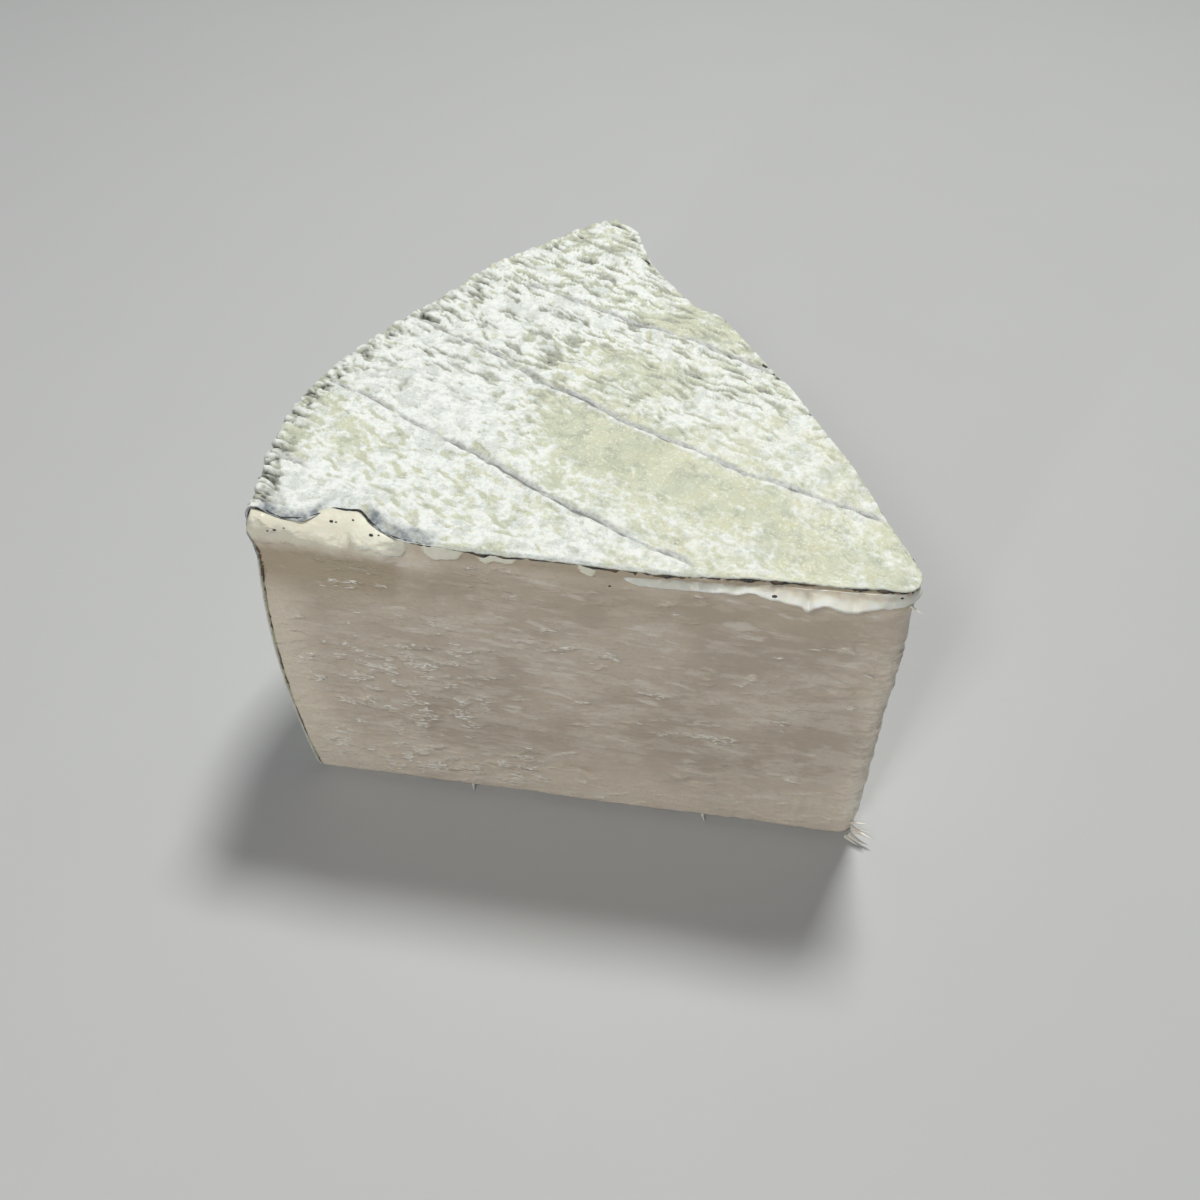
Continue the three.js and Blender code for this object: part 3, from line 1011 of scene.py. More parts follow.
layer_sheet = sheet + sheet_normal * (low_relief * foot_fade)[..., None]
x_of = sheet[..., 0]
y_of = sheet[..., 1]
near_tear = window(x_of, *GREY_EDGE_SPAN)
from_tear = y_of - tear(x_of)
bevel = near_tear * (1 - smooth(from_tear, 0.0, 2.6)) * smooth(inward, -4.0, 1.0)
fine_relief = fine_relief * (1 - 0.7 * bevel) - BEVEL * bevel
rind_outer = layer_sheet + sheet_normal * (fine_relief * foot_fade)[..., None]
rind_outer[..., 2] = np.maximum(rind_outer[..., 2], 0.0)
outward = edge_outward(layer_sheet, sheet_places)
edge_place = layer_sheet[sheet_picks]
edge_normal = sheet_normal[sheet_picks]
edge_x = edge_place[:, 0]
front_edge = (edge_place[:, 1] < TOP_EDGE_DEPTH) * (edge_place[:, 2] > TOP_EDGE_HEIGHT)
edge_tear = tear(edge_x) * front_edge

# The cut edge of the rind: a little ragged and just proud of the paste
ragged = 0.16 + 0.16 * field(edge_place, 2.0, 21, 3)
rind_outer[sheet_picks] += outward * (0.5 * ragged)[:, None]
border_top = rind_outer[sheet_picks]
cut_rings = []
thinned = 1 - 0.75 * bevel[sheet_picks]
for depth, push in CUT_RINGS:
    offset = outward * (push + 0.3 * ragged)[:, None] - edge_normal * (depth * thinned)[:, None]
    cut_rings.append(border_top + offset)
for ring in cut_rings:
    ring[:, 2] = np.maximum(ring[:, 2], 0.0)
# Away from the cut edges the layers lie deeper, below the wrinkles
to_edge = np.linalg.norm(sheet - sheet[:, :1], axis=-1)
to_edge = np.minimum(to_edge, np.linalg.norm(sheet - sheet[:, -1:], axis=-1))
to_edge = np.minimum(to_edge, np.linalg.norm(sheet - sheet[:1], axis=-1))
deeper = (DEEPER_INSIDE * smooth(to_edge, 0.0, DEEPER_REACH))[..., None]
rind_inner = layer_sheet - sheet_normal * (RIND_THICKNESS + deeper)
rind_inner[..., 2] = np.maximum(rind_inner[..., 2], 0.05)

# Grey where the rind is torn back, and along its cut edge: partly ash showing through, partly
# painted shade under the torn edge
from_front = y_of + front_offset(-x_of, FRONT_CUT_LENGTH, 1.0)
band = 1 - smooth(from_tear + 1.2 * field(sheet, 2.2, 22, 3), 1.0, 3.2)
smear = near_tear * band * (0.55 + 0.60 * smooth(field(sheet, 2.6, 23, 3), -0.25, 0.35))
smear *= 1 - 0.8 * window(x_of, *WHITE_GAP_SPAN)
hem = (1 - smooth(from_front, 0.15, 0.9)) * smooth(x_of, -84, -78)
smear = np.maximum(smear, 0.45 * hem) * smooth(inward, -1.0, 1.0)
rind_masks["smear"] = np.clip(smear, 0, 1)

rind_points, rind_faces = slab(rind_outer, rind_inner, cut_rings, COARSE_STEP)
rind_attributes = {key: list(values.ravel()) for key, values in rind_masks.items()}
EDGE_MASKS = {"bloom": 0.5, "shade": 0.05, "crease": 0.0, "warmth": 0.2}
for key, values in rind_attributes.items():
    for level in range(len(cut_rings)):
        if key == "smear":
            torn = (0.9 - 0.4 * (edge_x > -80)) * smooth(edge_tear, 0.3, 1.5)
            values.extend(np.maximum(torn, 0.12 * level))
        else:
            values.extend([EDGE_MASKS[key]] * len(sheet_places))
make_piece("rind", rind_points, rind_faces, rind_material(), rind_attributes)


# ---------------------------------------------------------------- the ash under the rind

print("ash")
thick = 0.75 * field(edge_place, 4.0, 24, 3) + 0.75 * field(edge_place, 1.1, 25, 3)
on_side = smooth(-inward[sheet_picks], 2, 6)
blotch = field(edge_place, (6.0, 6.0, 9.0), 26, 3) + 0.45 * field(edge_place, 1.1, 28, 2)
present = smooth(blotch - 0.16 * on_side, -0.34, 0.06)
in_tear = smooth(edge_tear, 2.0, 4.0) * (edge_x < -80)
present = np.maximum(present, 0.9 * in_tear)
thick = np.maximum(thick, 0.15 * in_tear)
by_lip = smooth(edge_x, -60, -50) * front_edge
beyond_tear = smooth(edge_x, -84, -78) * front_edge
present = np.maximum(present, 0.42 * by_lip)
thick = thick - 0.20 * beyond_tear + by_lip * (0.16 + 1.3 * field(edge_place, 5.0, 29, 2))
push = -0.55 + 0.66 * present + 0.15 * field(edge_place, 0.9, 27, 2) + 0.30 * in_tear
push = push + by_lip * (0.22 + 0.45 * field(edge_place, 3.0, 30, 2))
ash_outer = layer_sheet - sheet_normal * (ASH_TOP + deeper)
ash_inner = layer_sheet - sheet_normal * (ASH_BOTTOM + deeper)
ash_outer[sheet_picks] += outward * push[:, None]
ash_inner[sheet_picks] += outward * push[:, None]
ash_inner[sheet_picks] -= edge_normal * (thick - 0.1 - 0.25 * on_side)[:, None]
ash_outer[..., 2] = np.maximum(ash_outer[..., 2], 0.1)
ash_inner[..., 2] = np.maximum(ash_inner[..., 2], 0.15)
middle = (ash_outer[sheet_picks] + ash_inner[sheet_picks]) / 2 + outward * 0.06
ash_points, ash_faces = slab(ash_outer, ash_inner, [middle], COARSE_STEP, False)
hidden_count = len(coarse_places(*sheet.shape[:2], COARSE_STEP))
thin_here = 1 - smooth(field(edge_place, (3.0, 3.0, 9.0), 35, 3), -0.25, 0.15)
brown = np.maximum(0.8 * on_side, 0.75 * thin_here * beyond_tear)
brown_values = np.concatenate([brown, np.zeros(hidden_count), brown, brown])
make_piece("ash_layer", ash_points, ash_faces, ash_material(),
           {"brown": brown_values})


# ---------------------------------------------------------------- the paste

FAR_STATIONS = 150
RIM_STATIONS = 30
FRONT_STATIONS = 262
APEX_STATIONS = 12
WALL_ROWS = 196
ROLL_ROWS = 10
CAP_RINGS = 6
CAP_DROP = 1.6
PASTE_FOOT = 0.6
ROLL = 0.45
DOME_ROLL = 4.6


def paste_outline(share):
    """Plan points round the paste for a (rows, stations) array of heights."""
    far, rim, front, apex = np.split(share, np.cumsum(
        [FAR_STATIONS, RIM_STATIONS, FRONT_STATIONS]), axis=1)

    def parts(count, like):
        return np.arange(count) / count * np.ones_like(like)

    return np.concatenate([
        far_line(parts(FAR_STATIONS, far), far, SIDE_INSET),
        rim_line(1 - parts(RIM_STATIONS, rim), rim,
                 SIDE_INSET + DEEPER_INSIDE * np.sin(np.pi * parts(RIM_STATIONS, rim)) ** 0.3),
        front_line(1 - parts(FRONT_STATIONS, front), front, SIDE_INSET),
        apex_line(parts(APEX_STATIONS, apex), apex),
    ], axis=1)


stations = FAR_STATIONS + RIM_STATIONS + FRONT_STATIONS + APEX_STATIONS
rim_place = paste_outline(np.ones((1, stations)))[0]
front_side = np.zeros(stations)
front_side[FAR_STATIONS + RIM_STATIONS:-APEX_STATIONS] = 1
on_rim = np.zeros(stations)
on_rim[FAR_STATIONS:FAR_STATIONS + RIM_STATIONS] = np.sin(
    np.pi * np.arange(RIM_STATIONS) / RIM_STATIONS) ** 0.3
station_top = top_height(rim_place[:, 0], rim_place[:, 1])
dome = np.clip(tear(rim_place[:, 0]) / TEAR_DEPTH, 0, 1.1) * front_side
roll = ROLL + DOME_ROLL * dome
paste_top = station_top - PASTE_DEPTH - DEEPER_INSIDE * on_rim
wall_top = paste_top - roll

climb = np.linspace(0, 1, WALL_ROWS + 1)[:, None]
wall_height = PASTE_FOOT + climb * (wall_top - PASTE_FOOT)
wall_plan = paste_outline(wall_height / station_top)
wall = np.concatenate([wall_plan, wall_height[..., None]], axis=-1)

before = np.roll(rim_place, 1, axis=0)
after = np.roll(rim_place, -1, axis=0)
run = after - before
inward_plan = stacked(-run[:, 1], run[:, 0])
inward_plan /= np.linalg.norm(inward_plan, axis=-1)[:, None]
inward_plan[front_side > 0] = -FRONT_OUTWARD
turn = np.linspace(0, np.pi / 2, ROLL_ROWS + 1)[1:, None]
roll_plan = wall_plan[-1] + inward_plan * (roll * (1 - np.cos(turn)))[..., None]
roll_height = wall_top + roll * np.sin(turn)
rolled = np.concatenate([roll_plan, roll_height[..., None]], axis=-1)
paste_grid = np.concatenate([wall, rolled])


def ring_normals(grid):
    """Outward normals of a grid whose columns close on themselves."""
    wrapped = np.concatenate([grid[:, -2:], grid, grid[:, :2]], axis=1)
    return -grid_normals(wrapped)[:, 2:-2]


paste_normal = ring_normals(paste_grid)

segment = np.linalg.norm(np.roll(rim_place, -1, axis=0) - rim_place, axis=-1)
path = np.concatenate([[0], np.cumsum(segment)[:-1]])
girth = segment.sum()
path_from_apex = np.where(path < girth / 2, path, path - girth)


UPTURN = -0.4
DRAG_SLOPE = 0.06

# Creamline pushed out at the front cut's top: start and end x, fade-in, lower height, proud
BLOBS = (
    (-100.0, -86.0, 9.0, 66.3, 1.1),
    (-85.0, -76.0, 3.0, 66.6, 0.75),
    (-75.4, -67.0, 3.0, 66.6, 0.6),
    (-58.2, -53.6, 1.8, 66.9, 0.5),
)
BLOB_END = 1.4
# Features of the front cut: x and height, and how far they reach each way
ROUGH_PATCHES = (((-90.0, 32.0), (17.0, 19.0)), ((-80.0, 7.0), (20.0, 4.5)))
COMBED_PATCHES = (((-84.0, 59.0), (6.0, 7.0)), ((-15.0, 11.0), (9.0, 8.0)))
SHINY_SPOTS = ((-60.7, 47.0), (-53.6, 45.7), (-44.0, 36.5), (-33.0, 27.0), (-20.0, 33.0))
SHINY_REACH = (5.0, 1.8)
DENT = ((-57.0, 11.4), (3.4, 1.3))
DENT_SLOPE = 0.25
KNOB = ((-37.5, 13.8), (1.7, 1.3))
PIT = ((-34.6, 12.6), (1.5, 1.1))
CRACK_SPAN = (-17.0, -13.0, -8.0, -5.0)
CRACK_PLACE = (-14.5, 43.8)
CRACK_SLOPE = 0.18
CRACK_LEDGE_DROP = 1.2


def upturned(face, size, key, octaves=3):
    """Layered noise over a face whose bumps are steep above and gentle below."""
    moved = face.copy()
    moved[..., 1] += UPTURN * size[1] * field(face, size, key, 1)
    return field(moved, size, key, octaves)


def face_relief(grid):
    """Relief of the cut faces in millimetres, and the masks that colour them."""
    x, z = grid[..., 0], grid[..., 2]
    s = path_from_apex * np.ones_like(z)
    face = stacked(s, z, 0 * z)
    leaning = stacked(s, z - DRAG_SLOPE * s, 0 * z)
    free = (on_rim == 0) * np.ones_like(z)
    front = (s < 0) * free
    from_apex = np.abs(s)

    def marks(key, across, tall=None, octaves=3, place=face, gain=0.5):
        """Noise over a face, of one size or of a size across and a size upwards."""
        size = across if tall is None else (across, tall, 1.0)
        return field(place, size, key, octaves, gain)

    # Where the curd is torn into small shiny flakes
    cluster = 0.35 * smooth(marks(45, 15.0, 11.0, 2), 0.05, 0.5)
    for patch in ROUGH_PATCHES:
        cluster = cluster + 0.9 * spot(x, z, *patch) * front
    cluster = np.clip(cluster, 0, 1)
    for place in SHINY_SPOTS:
        cluster = np.maximum(cluster, spot(x, z, place, SHINY_REACH) * front)
    cluster *= smooth(marks(46, 4.5, 2.6, 2), -0.25, 0.35)

    # Pleats up the apex, and places that the knife combed upright
    tall = window(z, 3, 8, 54, 61)
    near_apex = (1 - smooth(from_apex, 3.5, 12)) * tall
    pleats = ridges(stacked(s, z + 0.12 * s, 0 * z), (11.0, 1.5, 1.0), 47, 2)
    combed = sum(spot(x, z, *patch) for patch in COMBED_PATCHES) * front

    # Ledges where the knife dragged the curd: steep and upturned above, gentle below
    placed = smooth(marks(57, 20.0, 12.0, 2), -0.35, 0.25)
    ledge = smooth(upturned(leaning, (5.0, 1.9, 1.0), 56, 3), 0.10, 0.55) * placed
    crumbs = smooth(upturned(leaning, (2.2, 1.0, 1.0), 58, 3), -0.05, 0.5)
    lumps = upturned(face, (8.0, 5.0, 1.0), 59, 2)
    relief = 0.42 * marks(41, 30.0, 22.0, 2) + 0.26 * marks(43, 13.0, 5.0, 3, leaning)
    relief += 0.03 * marks(42, 8.0, 1.5, 4, leaning, 0.55)
    relief += 0.30 * lumps * (0.5 + 0.5 * (1 - tall))
    bare = 1 - smooth(-x, 84, 90) * smooth(z, 54, 60) * front
    relief += bare * (0.20 * ledge + 0.20 * cluster * crumbs + 0.08 * crumbs * placed)
    relief += 0.36 * near_apex * pleats + 0.30 * combed * marks(48, 1.0, 17.0)

    # A dent with an ochre mark, a knob beside a pit, and a crack dragged by the knife
    dent_x = DENT[0][0]
    dent = spot(x, z + DENT_SLOPE * (x - dent_x), *DENT) * front
    slope = z - CRACK_PLACE[1] - CRACK_SLOPE * (x - CRACK_PLACE[0])
    crack_span = window(x, *CRACK_SPAN) * front
    relief += 0.6 * spot(x, z, *KNOB) * front - 0.45 * spot(x, z, *PIT) * front - 0.5 * dent
    relief -= 0.55 * bell(slope, 0.42) * crack_span
    relief += 0.32 * bell(slope + CRACK_LEDGE_DROP, 0.8) * crack_span

    # The creamline under the rind oozes out at the outer end, with a sloping top
    outer_end = front * smooth(-x, 86, 91)
    sag = 65.4 + marks(52, 6.0, 6.0)
    ooze = window(z, sag - 5.0, sag + 1.0, sag, sag + 5.0)
    ooze *= outer_end * (1 - 0.6 * smooth(-x, 103, 110))
    relief += 1.2 * ooze * (1 + 0.35 * marks(53, 3.2, 5.0))
    blob = 0 * z
    ragged_edge = 1.2 * marks(60, 2.8, 6.0) + 1.3 * marks(61, 4.0, 9.0, 2)
    for start, end, lead, low, proud in BLOBS:
        ends = window(x, start, start + lead, end - BLOB_END, end)
        edge = low + ragged_edge + 1.6 * (1 - ends)
        body = smooth(z, edge - 0.35, edge + 0.45) * np.exp(-np.maximum(z - edge, 0) / 2.2)
        relief += proud * body * ends * front
        shown = smooth(z, edge - 0.3, edge + 0.3) * smooth(ends, 0.1, 0.7) * front
        blob = np.maximum(blob, shown)

    off_apex = smooth(from_apex, 0.0, 1.0)
    top_room = 1 - smooth(z, 66.5, 69.0) * (1 - dome)
    relief = relief * free * (0.6 + 0.4 * off_apex) * (0.25 + 0.75 * top_room)

    # The creamline under the rind: ivory at the outer side, the foot corner and the top
    side_gap = FRONT_CUT_LENGTH + 2.0 - from_apex
    fuzz = 1.6 * marks(49, 5.0, 4.0)
    rind_side = 1 - smooth(side_gap + 1.5 * fuzz, 1.5, 13.0)
    corner = 1 - smooth(np.hypot(side_gap, 1.1 * z) + fuzz, 9, 17)
    lower_edge = 62.6 + 1.1 * marks(50, 7.0, 7.0)
    left = np.where(front > 0, 0.25 + 0.75 * smooth(from_apex, 78, 95), 0.55)
    left = left * (1 - 0.8 * outer_end)
    top_band = smooth(z, lower_edge - 3.0, lower_edge + 4.0) * left
    under_rind = z - 0.8 * marks(62, 1.4, 14.0) - 0.6 * fuzz
    cream = np.clip(0.34 * rind_side + 0.22 * corner + 0.95 * top_band, 0, 1)
    # Painted highlight: creamier on the pleats' crests and on the ledges
    for mask in (outer_end * smooth(under_rind, 61.5, 67.5), 0.9 * blob,
                 0.5 * near_apex * smooth(pleats, 0.0, 0.8),
                 0.45 * (1 - smooth(from_apex, 2, 9)), 0.40 * ledge):
        cream = np.maximum(cream, mask)
    # Lighter towards the foot, and painted glints as cream on the crumbs in rough clusters
    lighter_foot = 0.40 * (1 - smooth(z, 4, 26)) * (0.8 + 0.5 * marks(54, 8.0))
    cream = np.clip(cream + lighter_foot + 0.30 * cluster * crumbs, 0, 1)
    most = 0.62 - 0.22 * smooth(from_apex, 40, 70)
    cream = np.minimum(cream, most + (1 - most) * smooth(z, 50, 58))

    # Tan strips: below the rind along the front cut, and under the ooze at the outer end
    strip = 0.8 * smooth(z, 64.8, 67.4) * (1 - outer_end) * front
    tan_band = smooth(z, 48, 60) * (1 - smooth(under_rind, 61.5, 66.5)) * outer_end
    strip = np.maximum(strip, 0.92 * tan_band)
    strip = (strip + 0.30 * smooth(z, 50, 63) * front) * (1 - 0.9 * blob) * (1 - top_band)
    ochre = 0.55 * dent * smooth(marks(51, 1.6, octaves=2), -0.2, 0.4)
    gloss = np.clip(0.2 + 0.9 * cluster + 0.5 * near_apex + 0.6 * ledge, 0, 1)
    return relief, {"cream": cream, "strip": np.clip(strip, 0, 1), "ochre": ochre,
                    "gloss": gloss}


print("paste")
paste_relief, paste_masks = face_relief(paste_grid)
paste_grid = paste_grid + paste_normal * paste_relief[..., None]
rows = len(paste_grid)
last_ring = paste_grid[-1]
cap_rings = []
for ring in range(1, CAP_RINGS + 1):
    plan = last_ring[:, :2] + (INNER_POINT - last_ring[:, :2]) * ring / (CAP_RINGS + 1)
    height = top_height(plan[:, 0], plan[:, 1]) - PASTE_DEPTH - CAP_DROP
    cap_rings.append(np.column_stack([plan, height]))
paste_points = np.concatenate([
    paste_grid.reshape(-1, 3), *cap_rings,
    [[*INNER_POINT, PASTE_FOOT], [*INNER_POINT, top_height(*INNER_POINT) - PASTE_DEPTH - CAP_DROP]],
])
paste_faces = []
for ring in range(rows + CAP_RINGS - 1):
    paste_faces += loop_faces(ring * stations, (ring + 1) * stations, stations)
foot_tip = len(paste_points) - 2
top_tip = len(paste_points) - 1
top_ring = (rows + CAP_RINGS - 1) * stations
for i in range(stations):
    j = (i + 1) % stations
    paste_faces.append([foot_tip, j, i])
    paste_faces.append([top_tip, top_ring + i, top_ring + j])
paste_attributes = {key: values.ravel() for key, values in paste_masks.items()}
make_piece("paste", paste_points, paste_faces, paste_material(), paste_attributes)


# ---------------------------------------------------------------- the base's rind

print("base")
BASE_STEPS = 80
BASE_THICKNESS = 1.0
BASE_SHRINK = 0.008


def base_slab():
    """The rind that the wedge rests on: a thin slab under the paste."""
    part = np.linspace(0, 1, BASE_STEPS + 1)
    t, a = np.meshgrid(part, part, indexing="ij")
    zero = np.zeros_like(t)
    front = front_line(t, zero)
    far = far_line(t, zero)
    apex = apex_line(a, zero)
    rim = rim_line(a, zero)
    t = t[..., None]
    a = a[..., None]
    corners = ((1 - a) * (1 - t) * apex[0, 0] + a * (1 - t) * apex[0, -1]
               + (1 - a) * t * rim[0, 0] + a * t * rim[0, -1])
    plan = (1 - a) * front + a * far + (1 - t) * apex + t * rim - corners
    plan = plan + (INNER_POINT - plan) * BASE_SHRINK
    place = np.concatenate([plan, np.zeros_like(plan[..., :1])], axis=-1)
    u, v = crease_frame(place)
    wrinkle = 0.5 + 0.5 * ridges(stacked(u, v, 0 * u), (4.0, 2.2, 1.0), 61, 3)
    groove = sum(bell(v - offset, 0.9) for offset, *_ in CREASES)
    under = place.copy()
    under[..., 2] = 0.22 * np.clip(1 - wrinkle, 0, 1) + 0.5 * np.clip(groove, 0, 1)
    over = place.copy()
    over[..., 2] = BASE_THICKNESS
    bloom = smooth(field(place, 4.0, 62, 4), -0.35, 0.25)
    # Painted shade in the base's grooves
    shade = 0.6 * np.clip(groove, 0, 1)
    return under, over, bloom, shade


under, over, base_bloom, base_shade = base_slab()
base_points, base_faces = slab(under, over, [], COARSE_STEP)
base_attributes = {"bloom": base_bloom.ravel(), "shade": base_shade.ravel(),
                   "crease": 0.5 * base_shade.ravel(), "warmth": 0.3 * base_bloom.ravel()}
make_piece("rind_base", base_points, base_faces,
           bpy.data.materials["rind_bloom"], base_attributes)


# ---------------------------------------------------------------- the smeared cream

LIP_POINTS = 26


LIP_START = -50.0
LIP_PAST_APEX = 9.0
LIP_STEP = 0.22
LIP_SPARE = 6.0
LIP_SHARE = 0.94
LIP_FADE = 3.0
LIP_ROOT = -0.12
LIP_BACK = -0.7
LIP_FRONT_BELOW = 1.3
LIP_ROUND_DROP = 2.4
PATH_POINTS = 400
# Scallops in its lower edge: x, half width and how much lower it hangs
LIP_SCALLOPS = ((-28.4, 2.8, -0.7), (-19.5, 1.2, 0.9), (-16.6, 2.1, -0.6),
                (-12.6, 2.6, 0.5), (-6.3, 1.6, 0.4))


def tube_faces(rings, around):
    """Faces of a closed tube made of rings of points, with a cap at each end."""
    faces = []
    for k in range(rings - 1):
        faces += loop_faces(k * around, (k + 1) * around, around)
    faces.append(list(range(around)))
    faces.append(list(range((rings - 1) * around, rings * around))[::-1])
    return faces


def lip_path():
    """Plan points along the front cut, round the apex and beyond, and the way out."""
    share = np.full(PATH_POINTS, LIP_SHARE)
    reach = cut_reach(FRONT_DIRECTION, rim_radius(LIP_SHARE)) - SETBACK
    part = np.linspace(0, 1, PATH_POINTS)
    line = np.concatenate([
        front_line((-LIP_START - SETBACK) / reach * (1 - part), share),
        apex_line(part, share)[1:],
        far_line(LIP_PAST_APEX / reach * part, share)[1:],
    ])
    length = np.concatenate([[0], np.cumsum(np.linalg.norm(np.diff(line, axis=0), axis=1))])
    count = int((LIP_PAST_APEX - LIP_START + LIP_SPARE) / LIP_STEP)
    along = np.linspace(0, length[-1], count)
    plan = stacked(np.interp(along, length, line[:, 0]), np.interp(along, length, line[:, 1]))
    run = np.gradient(plan, axis=0)
    run /= np.linalg.norm(run, axis=1)[:, None]
    return plan, stacked(run[:, 1], -run[:, 0]), along


def lip_size(x, end):
    """How far below the top the lip starts, how far it hangs and how far it stands out."""
    below = LIP_FRONT_BELOW - 0.35 * smooth(x, -30, -20) - 0.25 * smooth(x, -10, -4)
    drop = 1.5 + 0.8 * smooth(x, -30, -20)
    drop += sum(more * bump(x - place, reach) for place, reach, more in LIP_SCALLOPS)
    drop = np.where(x < -SETBACK, drop, LIP_ROUND_DROP) * smooth(end, -2, 9) ** 0.6
    proud = 1.2 + 1.1 * smooth(x, -30, -18) - 1.6 * smooth(x, -13, -4)
    return below, drop, proud * smooth(end, -2, 7)


def lip():
    """A rolled smear of cream along the top edge of the front cut and round the apex."""
    plan, out, along = lip_path()
    x = plan[:, 0]
    count = len(x)
    end = along[-1] - along
    below, drop, proud = lip_size(x, end)
    where = stacked(along, 0 * along, 0 * along)
    fade = np.sqrt(np.clip(np.minimum(along, end) / LIP_FADE, 0, 1))
    tall = drop * (1 + 0.10 * field(where, 2.2, 71, 3)) * (0.35 + 0.65 * fade)
    thick = proud * (1 + 0.16 * field(where, 4.5, 72, 3)) * fade
    start = top_height(x, plan[:, 1]) - below + 0.25 * field(where, 4.0, 73, 2)

    # Its outside slopes out to a low peak and turns back under; its inside is buried
    half = LIP_POINTS // 2
    p = (0.5 - 0.5 * np.cos(np.linspace(0, np.pi, half)))[None, :]
    peak = (0.90 - 0.06 * smooth(x, -30, -12))[:, None]
    under = np.sqrt(np.clip(1 - ((p - peak) / (1 - peak)) ** 2, 0, 1))
    profile = np.where(p < peak, (p / peak) ** 1.15, under)
    outer_out = LIP_ROOT + (thick[:, None] - LIP_ROOT) * profile
    inner_out = np.full((count, half), LIP_BACK)
    offset = np.concatenate([outer_out, inner_out], axis=1)
    fall = tall[:, None] * np.concatenate([p, 0.12 + 0.76 * p[:, ::-1]], axis=1)
    grid = np.empty((count, LIP_POINTS, 3))
    grid[..., :2] = plan[:, None, :] + out[:, None, :] * offset[..., None]
    grid[..., 2] = start[:, None] - fall
    shiver = field(grid, (2.4, 2.4, 1.3), 74, 3) * 0.24 * fade[:, None]
    shiver[:, half:] = 0
    grid[..., :2] += out[:, None, :] * shiver[..., None]

    tint = np.zeros((count, LIP_POINTS))
    blotch = 0.40 + 0.60 * smooth(field(grid[:, :half], (2.6, 2.6, 0.8), 75, 3), -0.3, 0.3)
    tint[:, :half] = 0.90 * (1 - smooth(p, 0.12, 0.60)) * blotch
    return grid.reshape(-1, 3), tube_faces(count, LIP_POINTS), tint.ravel()


print("lip")
lip_points, lip_faces, lip_tint = lip()
make_piece("cream_lip", lip_points, lip_faces, lip_material(), {"tint": lip_tint})


# ---------------------------------------------------------------- fibres and ash specks

FIBRE_RINGS = 12
FIBRE_SIDES = 8
FIBRE_TIP = 0.015
FIBRE_FLATNESS = 0.7
LOWEST = 0.02


def fibre(root, tip, radius, bend):
    """A tapered spike from root to tip that bows by `bend` part way along."""
    root = np.array(root, float)
    tip = np.array(tip, float)
    axis = tip - root
    axis /= np.linalg.norm(axis)
    side = np.cross(axis, (0.3, 0.2, 1.0))
    side /= np.linalg.norm(side)
    up = np.cross(axis, side)
    rings = []
    for k in range(FIBRE_RINGS + 1):
        part = k / FIBRE_RINGS
        middle = root + (tip - root) * part + up * bend * math.sin(math.pi * part)
        width = radius * (1 - part) ** 0.8 + FIBRE_TIP
        angle = np.linspace(0, 2 * np.pi, FIBRE_SIDES, endpoint=False)[:, None]
        round_about = np.cos(angle) * side + FIBRE_FLATNESS * np.sin(angle) * up
        rings.append(middle + width * round_about)
    return np.concatenate(rings), tube_faces(FIBRE_RINGS + 1, FIBRE_SIDES)


# Spikes of curd: root, tip, radius and how far they bow
FIBRES = (
    ((-2.8, 0.9, 3.2), (0.4, -0.4, 4.0), 0.60, 0.25),
    ((-2.6, 0.8, 2.2), (1.6, -0.8, 2.2), 0.62, -0.2),
    ((-3.1, 0.6, 1.3), (0.7, -1.1, 0.7), 0.70, 0.3),
    ((-3.8, 0.2, 1.1), (-0.9, -1.3, 0.4), 0.50, 0.15),
    ((-3.0, 1.2, 4.4), (0.2, 0.2, 5.8), 0.42, 0.1),
    ((-79.0, 1.6, 1.0), (-78.5, -0.4, 0.4), 0.45, 0.1),
    ((-32.2, 1.6, 1.0), (-31.5, -0.6, 0.4), 0.45, 0.15),
    ((-3.4, 1.6, 66.2), (-0.7, 0.3, 65.0), 0.45, 0.2),
)


def gather(parts):
    """One mesh out of several: their points, and their faces counted on."""
    points = []
    faces = []
    for part_points, part_faces in parts:
        start = sum(len(earlier) for earlier in points)
        points.append(part_points)
        faces += [[start + i for i in face] for face in part_faces]
    return np.concatenate(points), faces


fibre_points, fibre_faces = gather([fibre(*one) for one in FIBRES])
fibre_points[:, 2] = np.maximum(fibre_points[:, 2], LOWEST)
make_piece("fibres", fibre_points, fibre_faces, fibre_material())

SPECK_RINGS = 6
SPECK_SIDES = 10
SPECK_PROUD = 0.05
SPECK_KEY = 101
LIP_SPECK_KEY = 123
FLAKE_KEY = 131


